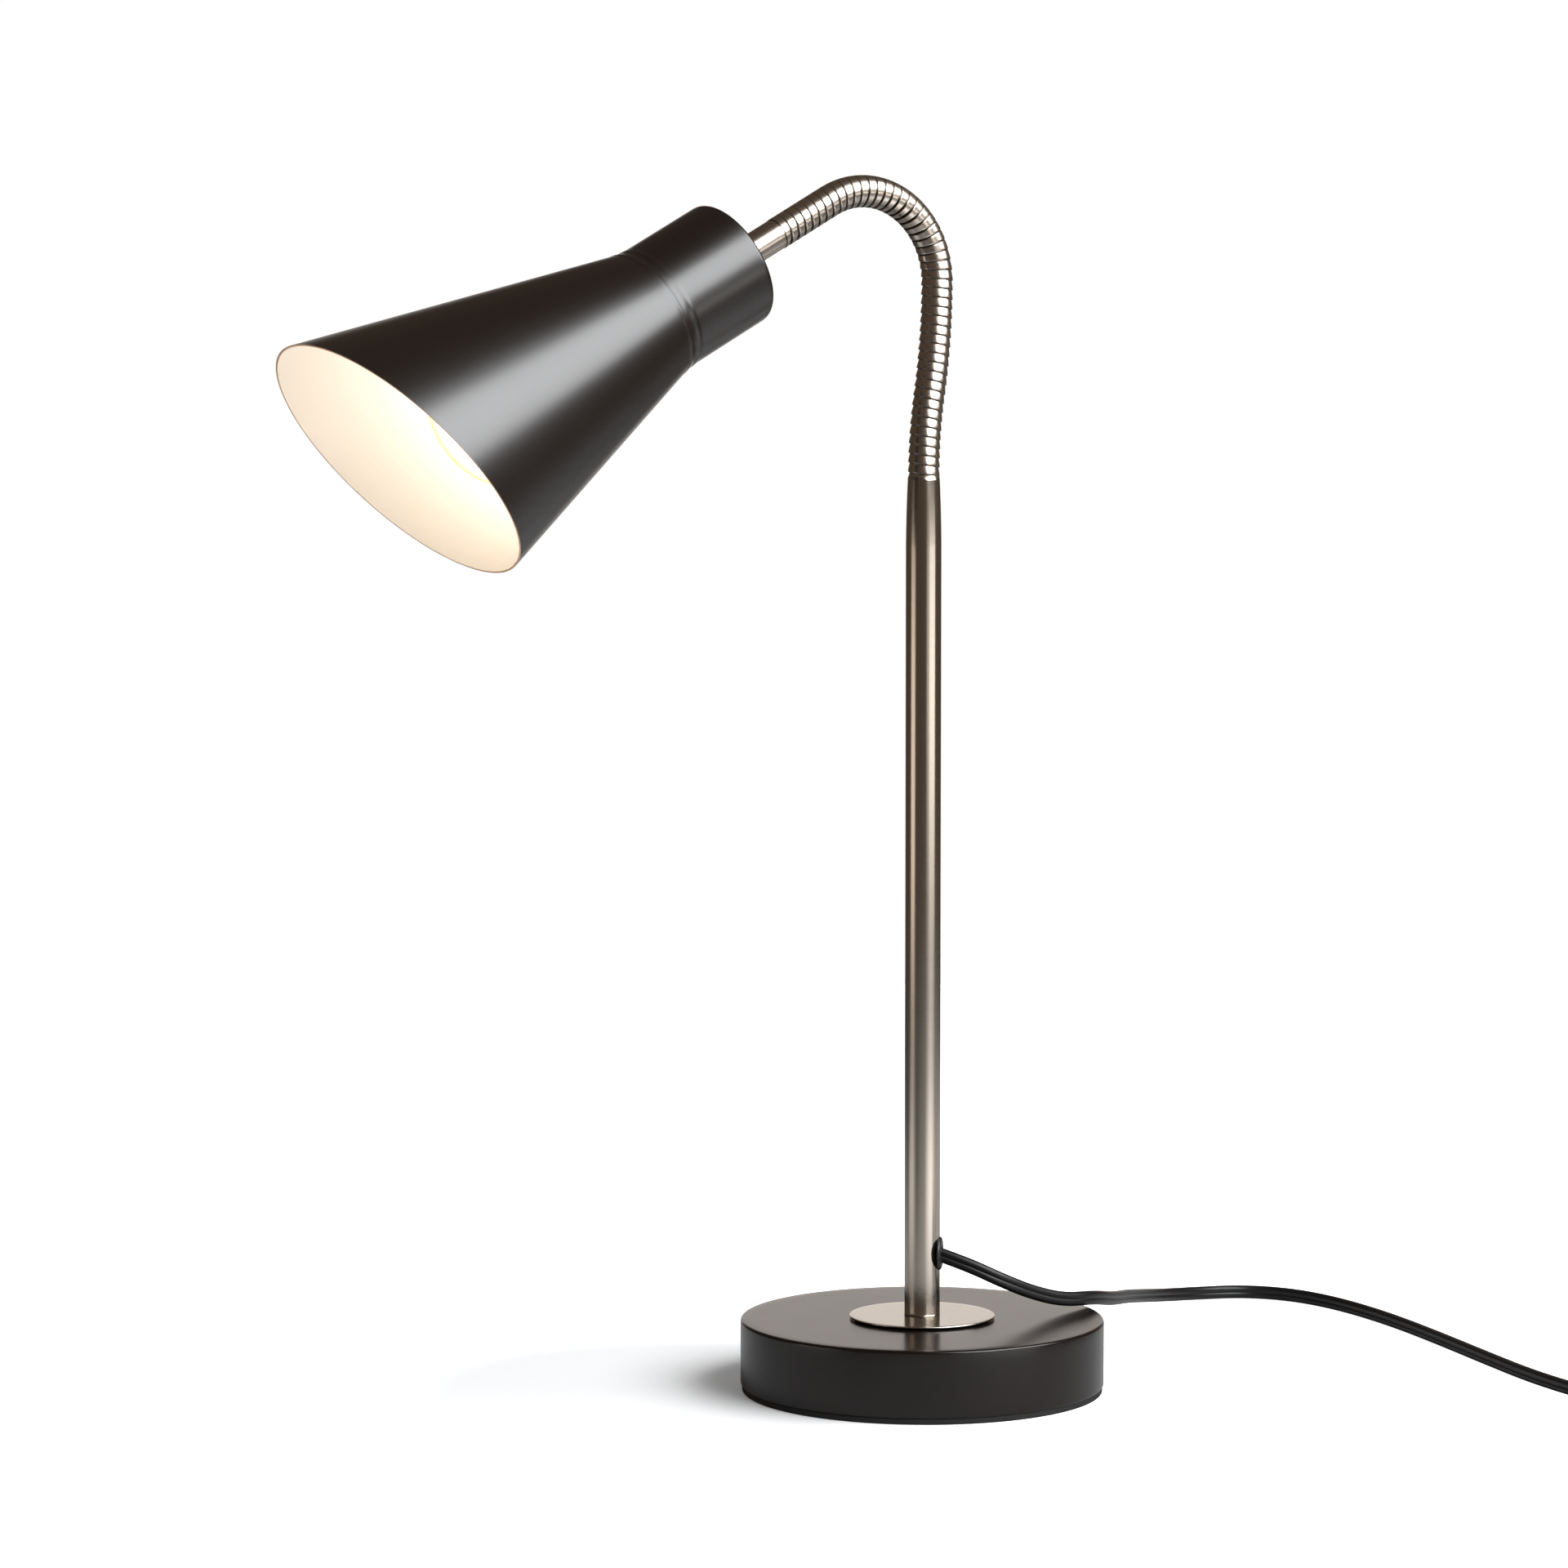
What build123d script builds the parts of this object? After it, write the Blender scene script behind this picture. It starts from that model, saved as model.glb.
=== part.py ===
"""Table lamp: weighted round base, straight stem, flexible ribbed neck and a cone shade."""
import os
from math import cos, pi, radians, sin, tan

from build123d import *

os.makedirs("parts", exist_ok=True)

# Clearances: turned pieces that fit in each other, and loose pieces inside a cover
fit = 0.05
loose = 0.4

# Round base: a rubber pad, a pressed steel shell and a cast weight inside
base_diameter = 130.0
base_height = 25.8
pad_thickness = 2.2
pad_setback = 0.5
shell_wall = 1.2
shell_edge_radius = 1.2
weight_thickness = 16.0
recess_diameter = 30.0
recess_depth = 8.0

# Hollow threaded rod with its nut and washer, and the disc at the foot of the stem
nipple_diameter = 8.0
nipple_bore = 5.2
nipple_end = 2.0
nut_width = 13.0
nut_thickness = 4.0
washer_diameter = 18.0
washer_thickness = 1.2
disc_diameter = 52.0
disc_thickness = 1.2
disc_edge = 0.4

# Stem: a steel tube drawn in a little at its top end
stem_diameter = 12.7
stem_wall = 1.0
stem_length = 298.9
swage_length = 24.0
swage_top_diameter = 11.4
insert_length = 12.0

# Cord outlet in the stem: a flat round button, seated a little way round the tube
outlet_rise_length = 9.0
outlet_angle = -47.4
grommet_diameter = 12.0
grommet_stand_height = 0.8
grommet_sink_depth = 0.5
grommet_neck = 7.8
grommet_inside = 1.2
grommet_edge = 0.4

# Flat twin cord and the lead inside the stem
cord_width = 5.2
cord_thickness = 3.2
cord_clearance = 0.15
outlet_run_length = 9.3
lead_diameter = 3.6
lead_bend = 4.6

# Neck: centreline of arcs in the plane of the lamp, and its rib sizes
neck_lean = 9.32
neck_lean_radius = 175.4
neck_return_radius = 242.3
neck_crook_radius = 31.0
neck_drop = 28.64
neck_foot_length = 1.2
neck_end_length = 46.34
ferrule_length = 21.4
ferrule_diameter = 11.0
segment_count = 12
segment_ribs = 4
rib_crest_diameter = 11.3
rib_valley_diameter = 10.6
neck_bore = 6.0
neck_sides = 18
segment_end_land = 0.6
segment_swing = 14.0
segment_gap = 0.05
spigot_length = 6.0
spigot_clearance = 0.25
socket_depth = 12.0
lead_bore = 4.2

# Shade: a short round cap that opens into a cone, its mouth cut at a slant
shade_neck_diameter = 45.0
shade_neck_length = 36.24
shade_flare = 14.18
shade_length = 146.0
shade_mouth_slant = 15.36
shade_wall = 0.7
shade_cap_radius = 2.0
crease_bead = 0.35
shade_nut_width = 14.0
shade_nut_thickness = 3.5
shade_washer_diameter = 24.0
ferrule_thread = 16.0

# Lamp holder and bulb: sizes of a 27 mm screw lamp
holder_diameter = 39.0
holder_length = 48.0
holder_floor_thickness = 6.0
sleeve_diameter = 31.6
sleeve_wall = 1.2
sleeve_length = 27.0
sleeve_inset_length = 6.4
bulb_cap_diameter = 26.4
bulb_cap_length = 33.0
bulb_neck_diameter = 29.0
bulb_diameter = 60.0
bulb_length = 78.0
bulb_tip_diameter = 22.0
bulb_wall = 1.0
contact_diameter = 9.0
contact_height = 3.5
bulb_contact_height = 1.5

# Switch in the cord
switch_length = 62.0
switch_width = 21.0
switch_lower_height = 8.0
switch_upper_height = 7.0
switch_wall = 1.6
switch_corner = 5.0
rocker_length = 19.0
rocker_width = 9.0
rocker_tilt = 8.0
rocker_crown = 3.0
rocker_axle = 3.0
rocker_clearance = 0.4
axle_reach = 2.0
axle_clearance = 0.08
screw_diameter = 4.0
screw_spacing = 44.0

# Cord hank and plug
coil_radius = 34.1
coil_pitch = 5.0
coil_layer = 5.8
coil_turns = 6.25
coil_lift = 0.7
tie_thickness = 0.6
tie_width = 7.0
plug_length = 36.0
plug_width = 35.3
plug_thickness = 13.7
plug_tail = 11.0
plug_run_length = 44.8
plug_relief_length = 22.0
plug_relief_diameter = 7.2
pin_diameter = 4.0
pin_length = 19.0
pin_spacing = 18.6

# Heights of the base and stem, from the table up
shell_top = base_height
weight_top = shell_top - shell_wall
weight_bottom = weight_top - weight_thickness
recess_top = weight_bottom + recess_depth
washer_bottom = recess_top - washer_thickness
nut_bottom = washer_bottom - nut_thickness
disc_top = shell_top + disc_thickness
stem_top = disc_top + stem_length
base_radius = base_diameter / 2
stem_radius = stem_diameter / 2
stem_bore = stem_radius - stem_wall
swage_radius = swage_top_diameter / 2
swage_bore = swage_radius - stem_wall
nipple_radius = nipple_diameter / 2
nipple_hole = nipple_radius + fit

# Rubber pad under the base
with BuildPart() as base_pad:
    Cylinder(base_radius - pad_setback, pad_thickness, align=(Align.CENTER, Align.CENTER, Align.MIN))
    chamfer(base_pad.edges().group_by(Axis.Z)[0], pad_thickness / 5)

# Pressed shell, open below, with a rounded top edge
with BuildPart() as base_shell:
    with BuildSketch(Plane.XZ):
        Polygon(
            (nipple_hole, shell_top),
            (base_radius, shell_top),
            (base_radius, pad_thickness),
            (base_radius - shell_wall, pad_thickness),
            (base_radius - shell_wall, weight_top),
            (nipple_hole, weight_top),
            align=None,
        )
    revolve(axis=Axis.Z)
    fillet(base_shell.edges().group_by(Axis.Z)[-1].sort_by(SortBy.LENGTH)[-1], shell_edge_radius)

# Cast weight held up in the shell, with a recess for the nut
weight_radius = base_radius - shell_wall - loose
with BuildPart() as base_weight:
    with BuildSketch(Plane.XZ):
        Polygon(
            (nipple_radius + loose, weight_top),
            (weight_radius - shell_edge_radius, weight_top),
            (weight_radius, weight_top - shell_edge_radius),
            (weight_radius, weight_bottom),
            (recess_diameter / 2, weight_bottom),
            (recess_diameter / 2, recess_top),
            (nipple_radius + loose, recess_top),
            align=None,
        )
    revolve(axis=Axis.Z)

# Toothed washer, drawn as a plain ring
with BuildPart() as lock_washer:
    with BuildSketch(Plane.XY.offset(washer_bottom)):
        Circle(washer_diameter / 2)
        Circle(nipple_hole, mode=Mode.SUBTRACT)
    extrude(amount=washer_thickness)

# Nut on the threaded rod
with BuildPart() as base_nut:
    with BuildSketch(Plane.XY.offset(nut_bottom)):
        RegularPolygon(nut_width / 2, 6, major_radius=False)
        Circle(nipple_hole, mode=Mode.SUBTRACT)
    extrude(amount=nut_thickness)

# Hollow rod that holds base, disc and stem together
with BuildPart() as base_nipple:
    with BuildSketch(Plane.XY.offset(nut_bottom - nipple_end)):
        Circle(nipple_radius)
        Circle(nipple_bore / 2, mode=Mode.SUBTRACT)
    extrude(amount=disc_top + insert_length - nut_bottom + nipple_end)

# Disc at the foot of the stem
with BuildPart() as foot_disc:
    with BuildSketch(Plane.XY.offset(shell_top)):
        Circle(disc_diameter / 2)
        Circle(nipple_hole, mode=Mode.SUBTRACT)
    extrude(amount=disc_thickness)
    chamfer(foot_disc.edges().group_by(Axis.Z)[-1].sort_by(SortBy.LENGTH)[-1], disc_edge)

# Cord outlet: its axis points out of the stem, level with the table
outlet_height = disc_top + insert_length + outlet_rise_length
outlet_way = Vector(cos(radians(outlet_angle)), sin(radians(outlet_angle)), 0)
outlet_plane = Plane(origin=(0, 0, outlet_height), x_dir=(0, 0, 1), z_dir=outlet_way)
grommet_bore = cord_width / 2 + cord_clearance
grommet_face = stem_radius + grommet_stand_height
grommet_start = stem_bore - grommet_inside

# Stem tube with its drawn-in top and the hole of the outlet
swage_start = stem_top - swage_length
swage_middle = stem_top - swage_length / 2
swage_middle_radius = stem_radius - (stem_radius - swage_radius) / 4
with BuildPart() as stem_tube:
    with BuildSketch(Plane.XZ):
        Polygon(
            (stem_bore, disc_top),
            (stem_radius, disc_top),
            (stem_radius, swage_start),
            (swage_middle_radius, swage_middle),
            (swage_radius, stem_top),
            (swage_bore, stem_top),
            (swage_bore, stem_top - socket_depth - stem_wall),
            (stem_bore, swage_start - stem_wall),
            align=None,
        )
    revolve(axis=Axis.Z)
    with BuildSketch(outlet_plane):
        Circle(grommet_neck / 2 + fit)
    extrude(amount=stem_diameter, mode=Mode.SUBTRACT)

# Bush inside the foot of the stem, screwed on the rod
with BuildPart() as stem_insert:
    with BuildSketch(Plane.XY.offset(disc_top)):
        Circle(stem_bore - fit)
        Circle(nipple_hole, mode=Mode.SUBTRACT)
    extrude(amount=insert_length)

# Grommet: a flat button on the stem, a neck through its wall and a bore for the cord
with BuildPart() as cord_grommet:
    with BuildSketch(outlet_plane.offset(stem_radius - grommet_sink_depth)):
        Circle(grommet_diameter / 2)
    extrude(amount=grommet_sink_depth + grommet_stand_height)
    chamfer(cord_grommet.edges().sort_by(Axis((0, 0, 0), outlet_way))[-1], grommet_edge)
    with Locations((0, 0, outlet_height)):
        Cylinder(stem_radius + fit, grommet_diameter * 2, mode=Mode.SUBTRACT)
    with BuildSketch(outlet_plane.offset(grommet_start)):
        Circle(grommet_neck / 2)
    extrude(amount=stem_radius + grommet_stand_height / 2 - grommet_start)
    with BuildSketch(outlet_plane):
        Circle(grommet_bore)
    extrude(amount=grommet_face + grommet_stand_height, mode=Mode.SUBTRACT)

# Lead inside the stem: from the outlet it turns up and ends in the neck socket
lead_end = stem_top + spigot_length
with BuildPart() as stem_lead:
    with BuildLine() as lead_path:
        lead_corner = Vector(0, 0, outlet_height)
        FilletPolyline(
            lead_corner + outlet_way * (lead_bend + fit),
            lead_corner,
            Vector(0, 0, lead_end),
            radius=lead_bend,
        )
    with BuildSketch(Plane(origin=lead_path.line @ 0, z_dir=lead_path.line % 0)):
        RegularPolygon(lead_diameter / 2, 10)
    sweep()

# Socket in the top of the stem that carries the flexible neck
spigot_radius = neck_bore / 2 - spigot_clearance
with BuildPart() as neck_socket:
    with BuildSketch(Plane.XZ):
        Polygon(
            (lead_bore / 2, stem_top - socket_depth),
            (swage_bore - fit, stem_top - socket_depth),
            (swage_bore - fit, stem_top),
            (spigot_radius, stem_top),
            (spigot_radius, lead_end),
            (lead_bore / 2, lead_end),
            align=None,
        )
    revolve(axis=Axis.Z)

# Centreline of the neck: up, a slight lean back and return, the crook, and straight to the shade
with BuildLine(Plane.XZ) as neck_line:
    neck_a = Line((0, stem_top), (0, stem_top + neck_foot_length))
    neck_b = JernArc(neck_a @ 1, neck_a % 1, neck_lean_radius, -neck_lean)
    neck_c = JernArc(neck_b @ 1, neck_b % 1, neck_return_radius, neck_lean)
    neck_d = JernArc(neck_c @ 1, neck_c % 1, neck_crook_radius, 90 + neck_drop)
    PolarLine(neck_d @ 1, neck_end_length, direction=neck_d % 1)
neck_wire = neck_line.wire()
hose_length = neck_wire.length - ferrule_length
segment_length = hose_length / segment_count
rib_pitch = segment_length / segment_ribs


def neck_plane(distance):
    """Plane square to the centreline at a distance along it, its X axis across the lamp."""
    point = neck_wire.position_at(distance, position_mode=PositionMode.LENGTH)
    way = neck_wire.tangent_at(distance, position_mode=PositionMode.LENGTH)
    return Plane(origin=point, x_dir=(0, 1, 0), z_dir=way)


# Ribbed segments of the neck: coned ends leave room for each joint to swing
valley_radius = rib_valley_diameter / 2
crest_radius = rib_crest_diameter / 2
land_radius = neck_bore / 2 + segment_end_land
land_gap = land_radius * tan(radians(segment_swing / 2)) + segment_gap
edge_gap = valley_radius * tan(radians(segment_swing / 2)) + segment_gap
for number in range(1, segment_count + 1):
    first = (number - 1) * segment_length
    last = number * segment_length
    stations = [(first, valley_radius)]
    if number > 1:
        stations = [(first + land_gap, land_radius), (first + edge_gap, valley_radius)]
    for rib in range(segment_ribs):
        stations.append((first + (rib + 0.5) * rib_pitch, crest_radius))
        if rib < segment_ribs - 1:
            stations.append((first + (rib + 1) * rib_pitch, valley_radius))
    if number < segment_count:
        stations += [(last - edge_gap, valley_radius), (last - land_gap, land_radius)]
    else:
        stations.append((last, valley_radius))
    with BuildPart() as neck_segment:
        for distance, radius in stations:
            with BuildSketch(neck_plane(distance)):
                RegularPolygon(radius, neck_sides)
        loft(ruled=True)
        for distance in (first, last):
            with BuildSketch(neck_plane(distance)):
                Circle(neck_bore / 2)
        loft(ruled=True, mode=Mode.SUBTRACT)
    neck_segment.part.label = f"neck_segment_{number:02d}"
    export_step(neck_segment.part, f"parts/neck_segment_{number:02d}.step")

# Head: stations run from the outside of the shade's cap along the axis of the head
cap_point = neck_wire @ 1
head_way = neck_wire % 1
head_axis = Axis(cap_point, head_way)
head_section = Plane(origin=cap_point, x_dir=head_way, z_dir=(0, 1, 0))


def head_plane(station):
    """Plane square to the axis of the head at a station."""
    return Plane(origin=cap_point + head_way * station, x_dir=(0, 1, 0), z_dir=head_way)


# Smooth ferrule between neck and shade, with a spigot in the last segment
with BuildPart() as neck_ferrule:
    with BuildSketch(head_section):
        Polygon(
            (-ferrule_length - spigot_length, lead_bore / 2),
            (-ferrule_length - spigot_length, spigot_radius),
            (-ferrule_length, spigot_radius),
            (-ferrule_length, ferrule_diameter / 2),
            (0, ferrule_diameter / 2),
            (0, nipple_hole),
            (-ferrule_thread, nipple_hole),
            (-ferrule_thread, lead_bore / 2),
            align=None,
        )
    revolve(axis=head_axis)

# Shade: cap, neck, bead at the crease and cone, then the slanting cut of its mouth
shade_neck_radius = shade_neck_diameter / 2
shade_far = shade_length * 1.3
far_radius = shade_neck_radius + (shade_far - shade_neck_length) * tan(radians(shade_flare))
cone_inset = shade_wall / cos(radians(shade_flare))
crease_inset = shade_wall * tan(radians(shade_flare / 2))
shade_hole = nipple_radius + 2 * fit
mouth_point = cap_point + head_way * shade_length
mouth_way = head_way.rotate(Axis.Y, -shade_mouth_slant)
with BuildPart() as shade:
    with BuildSketch(head_section):
        Polygon(
            (0, shade_hole),
            (0, shade_neck_radius),
            (shade_neck_length, shade_neck_radius),
            (shade_far, far_radius),
            (shade_far, far_radius - cone_inset),
            (shade_neck_length + crease_inset, shade_neck_radius - shade_wall),
            (shade_wall, shade_neck_radius - shade_wall),
            (shade_wall, shade_hole),
            align=None,
        )
    revolve(axis=head_axis)
    fillet(shade.edges().sort_by_distance(cap_point + Vector(0, shade_neck_radius, 0))[0], shade_cap_radius)
    with BuildSketch(head_section):
        Polygon(
            (shade_neck_length - 3 * crease_bead, shade_neck_radius - shade_wall / 2),
            (shade_neck_length - 3 * crease_bead, shade_neck_radius),
            (shade_neck_length - crease_bead, shade_neck_radius + crease_bead),
            (shade_neck_length + crease_bead, shade_neck_radius + crease_bead),
            (shade_neck_length + crease_bead, shade_neck_radius - shade_wall / 2),
            align=None,
        )
    revolve(axis=head_axis)
    split(bisect_by=Plane(origin=mouth_point, z_dir=mouth_way), keep=Keep.BOTTOM)

# Hollow rod through the cap, with its washer and nut
washer_start = shade_wall
nut_start = washer_start + washer_thickness
holder_start = nut_start + shade_nut_thickness
with BuildPart() as ferrule_nipple:
    with BuildSketch(head_plane(-ferrule_thread)):
        Circle(nipple_radius)
        Circle(nipple_bore / 2, mode=Mode.SUBTRACT)
    extrude(amount=ferrule_thread + holder_start + holder_floor_thickness / 2)

with BuildPart() as shade_washer:
    with BuildSketch(head_plane(washer_start)):
        Circle(shade_washer_diameter / 2)
        Circle(nipple_hole, mode=Mode.SUBTRACT)
    extrude(amount=washer_thickness)

with BuildPart() as shade_nut:
    with BuildSketch(head_plane(nut_start)):
        RegularPolygon(shade_nut_width / 2, 6, major_radius=False)
        Circle(nipple_hole, mode=Mode.SUBTRACT)
    extrude(amount=shade_nut_thickness)

# Lamp holder: a plastic cup on the rod, a screw sleeve in it and a contact on its floor
holder_end = holder_start + holder_length
cup_floor = holder_start + holder_floor_thickness
cup_radius = sleeve_diameter / 2 + fit
with BuildPart() as holder_base:
    with BuildSketch(head_section):
        Polygon(
            (holder_start, nipple_hole),
            (holder_start, holder_diameter / 2 - holder_floor_thickness),
            (holder_start + holder_floor_thickness, holder_diameter / 2),
            (holder_end, holder_diameter / 2),
            (holder_end, cup_radius),
            (cup_floor, cup_radius),
            (cup_floor, nipple_radius / 2),
            (holder_start + holder_floor_thickness / 2, nipple_radius / 2),
            (holder_start + holder_floor_thickness / 2, nipple_hole),
            align=None,
        )
    revolve(axis=head_axis)

sleeve_near = cup_floor + sleeve_inset_length
with BuildPart() as holder_shell:
    with BuildSketch(head_plane(sleeve_near)):
        Circle(sleeve_diameter / 2)
        Circle(sleeve_diameter / 2 - sleeve_wall, mode=Mode.SUBTRACT)
    extrude(amount=sleeve_length)

with BuildPart() as holder_contact:
    with BuildSketch(head_plane(cup_floor)):
        Circle(contact_diameter / 2)
    extrude(amount=contact_height)

# Bulb: foot contact, screw cap and an opal glass of the usual pear form
bulb_contact_start = cup_floor + contact_height
bulb_cap_start = bulb_contact_start + bulb_contact_height
bulb_glass_start = bulb_cap_start + bulb_cap_length
bulb_neck = bulb_neck_diameter / 2
bulb_radius = bulb_diameter / 2
with BuildPart() as bulb_contact:
    with BuildSketch(head_plane(bulb_contact_start)):
        Circle(contact_diameter / 2)
    extrude(amount=bulb_contact_height)

with BuildPart() as bulb_cap:
    with BuildSketch(head_section):
        Polygon(
            (bulb_cap_start, 0),
            (bulb_cap_start, contact_diameter / 2),
            (bulb_cap_start + sleeve_inset_length, bulb_cap_diameter / 2),
            (bulb_glass_start, bulb_cap_diameter / 2),
            (bulb_glass_start, 0),
            align=None,
        )
    revolve(axis=head_axis)

bulb_tip = bulb_tip_diameter / 2
bulb_middle = (bulb_neck + bulb_radius) / 2
bulb_outline = [
    (0.0, bulb_neck),
    (0.10, bulb_neck * 1.14),
    (0.26, bulb_middle),
    (0.41, bulb_radius * 0.907),
    (0.54, bulb_radius * 0.993),
    (0.66, bulb_radius * 0.993),
    (0.79, bulb_radius * 0.887),
    (0.90, bulb_radius * 0.68),
    (0.97, bulb_tip),
]
with BuildPart() as bulb_glass:
    for wall, mode in ((0, Mode.ADD), (bulb_wall, Mode.SUBTRACT)):
        reach = bulb_length - wall
        with BuildSketch(head_section):
            Polygon(
                (bulb_glass_start, 0),
                *[(bulb_glass_start + part * reach, radius - wall) for part, radius in bulb_outline],
                (bulb_glass_start + reach, 0),
                align=None,
            )
        revolve(axis=head_axis, mode=mode)


def cord_tube(points):
    """Path of a cord through its points: each corner rounded by as much as its shorter run allows."""
    runs = [points[i + 1] - points[i] for i in range(len(points) - 1)]
    radii = []
    for before, after in zip(runs, runs[1:]):
        turn = radians(before.get_angle(after))
        radii.append(0.45 * min(before.length, after.length) / tan(turn / 2))
    print(f"cord bends: least radius {min(radii):.1f} mm over {len(radii)} bends")
    return radii


# Cord from the outlet over the edge of the base, in a bend on the table and on to the switch
outlet_start = outlet_way * (lead_bend + 2 * fit) + Vector(0, 0, outlet_height)
outlet_next = outlet_way * (grommet_face + outlet_run_length) + Vector(0, 0, outlet_height)
switch_points = [
    outlet_start,
    outlet_next,
    Vector(23.4, -17.2, 39.4),
    Vector(37.8, -17.2, 33.6),
    Vector(51.1, -17.0, 30.2),
    Vector(66.1, -14.3, 29.1),
    Vector(86.7, 1.5, 25.0),
    Vector(114.8, 29.6, 18.2),
    Vector(142.9, 56.7, 11.0),
    Vector(168.6, 75.7, 4.7),
    Vector(190.4, 83.4, 2.8),
    Vector(209.6, 79.7, 2.8),
    Vector(220.2, 64.9, 2.8),
    Vector(222.8, 45.2, 2.8),
    Vector(221.1, 21.8, 2.8),
    Vector(216.0, -7.8, 2.8),
    Vector(207.5, -42.3, 2.8),
    Vector(197.7, -79.0, 2.8),
    Vector(188.0, -114.5, 2.9),
    Vector(180.8, -148.1, 3.6),
    Vector(176.4, -173.9, 4.8),
    Vector(175.0, -185.0, 4.8),
]
with BuildPart() as cord_to_switch:
    with BuildLine() as switch_path:
        FilletPolyline(*switch_points, radius=cord_tube(switch_points))
    with BuildSketch(Plane(origin=switch_path.line @ 0, z_dir=switch_path.line % 0)):
        RegularPolygon(cord_width / 2, 6)
    sweep()

# Switch housing: lower and upper half, with a slot for the rocker
switch_way = (switch_points[-1] - switch_points[-2]).normalized()
switch_side = Vector(0, 0, 1).cross(switch_way)
switch_middle = switch_points[-1] + switch_way * (switch_length / 2)
switch_floor = Plane(origin=(switch_middle.X, switch_middle.Y, 0), x_dir=switch_way, z_dir=(0, 0, 1))
switch_height = switch_lower_height + switch_upper_height
axle_height = switch_height - rocker_axle / 2 - switch_wall
with BuildPart() as switch_lower:
    with BuildSketch(switch_floor):
        RectangleRounded(switch_length, switch_width, switch_corner)
    extrude(amount=switch_lower_height)
    chamfer(switch_lower.edges().group_by(Axis.Z)[0], switch_wall / 2)
    with BuildSketch(switch_floor.offset(switch_wall)):
        RectangleRounded(switch_length / 2, switch_width - 4 * switch_wall, switch_wall)
    extrude(amount=switch_lower_height, mode=Mode.SUBTRACT)
    with BuildSketch(switch_floor):
        with GridLocations(screw_spacing, 0, 2, 1):
            Circle(screw_diameter / 2 + fit)
    extrude(amount=switch_lower_height / 2, mode=Mode.SUBTRACT)

slot_length = rocker_length + 2 * rocker_clearance
slot_width = rocker_width + 2 * rocker_clearance
with BuildPart() as switch_upper:
    with BuildSketch(switch_floor.offset(switch_lower_height)):
        RectangleRounded(switch_length, switch_width, switch_corner)
    extrude(amount=switch_upper_height)
    chamfer(switch_upper.edges().group_by(Axis.Z)[-1], switch_wall)
    with BuildSketch(switch_floor.offset(switch_lower_height)):
        Rectangle(slot_length, slot_width)
    extrude(amount=switch_upper_height, mode=Mode.SUBTRACT)
    with Locations(switch_floor.offset(axle_height)):
        Cylinder(
            rocker_axle / 2 + axle_clearance,
            slot_width + 2 * axle_reach,
            rotation=(90, 0, 0),
            mode=Mode.SUBTRACT,
        )

# Rocker on its axle, at rest tilted to the side that is on
rocker_drop = axle_height - switch_lower_height - rocker_clearance
with BuildPart() as switch_rocker:
    with BuildSketch(Plane.XZ):
        Polygon(
            (-rocker_length / 2 + rocker_crown, -rocker_drop / 2),
            (rocker_length / 2 - rocker_crown, -rocker_drop / 2),
            (rocker_length / 2 - rocker_clearance, rocker_crown),
            (0, rocker_crown),
            (-rocker_length / 2 + rocker_clearance, rocker_crown),
            align=None,
        )
    extrude(amount=rocker_width / 2, both=True)
    Cylinder(rocker_axle / 2, slot_width + 2 * axle_reach - 4 * axle_clearance, rotation=(90, 0, 0))
switch_rocker.part = switch_rocker.part.rotate(Axis.Y, rocker_tilt)
switch_rocker.part = switch_rocker.part.moved(switch_floor.offset(axle_height).location)

# Two screws that hold the halves together, from below
with BuildPart() as switch_screws:
    with BuildSketch(switch_floor.offset(switch_wall / 2)):
        with GridLocations(screw_spacing, 0, 2, 1):
            Circle(screw_diameter / 2)
    extrude(amount=switch_lower_height / 2 - switch_wall / 2)

# Cord from the switch to the hank
switch_end = switch_points[-1] + switch_way * switch_length
coil_low = coil_lift + cord_width / 2
coil_center = Vector(224.0, -258.0, 0)
coil_entry = coil_center + Vector(-cord_width, -coil_radius, coil_low)
coil_points = [
    switch_end,
    switch_end + switch_way * 18,
    Vector(174.8, -283.6, 3.8),
    Vector(196.0, coil_entry.Y, coil_low),
    coil_entry,
]
with BuildPart() as cord_to_coil:
    with BuildLine() as coil_lead_path:
        FilletPolyline(*coil_points, radius=cord_tube(coil_points))
    with BuildSketch(Plane(origin=coil_lead_path.line @ 0, z_dir=coil_lead_path.line % 0)):
        RegularPolygon(cord_width / 2, 6)
    sweep()


def coil_reach(turns):
    """Radius of the hank: steadily in to its middle turn, and out again at the same rate."""
    return coil_radius - coil_pitch * (coil_turns / 2 - abs(turns - coil_turns / 2))


def coil_place(turns):
    """Point of the hank: it winds in on the table, climbs at its inmost place and winds out again."""
    angle = 2 * pi * turns - pi / 2
    height = coil_low if turns < coil_turns / 2 else coil_low + coil_layer
    return coil_center + Vector(coil_reach(turns) * cos(angle), coil_reach(turns) * sin(angle), height)


def coil_heading(turns):
    """Direction of the hank at a point, level with the table."""
    step = 0.01
    way = coil_place(turns + step) - coil_place(turns - step)
    return Vector(way.X, way.Y, 0).normalized()


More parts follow.
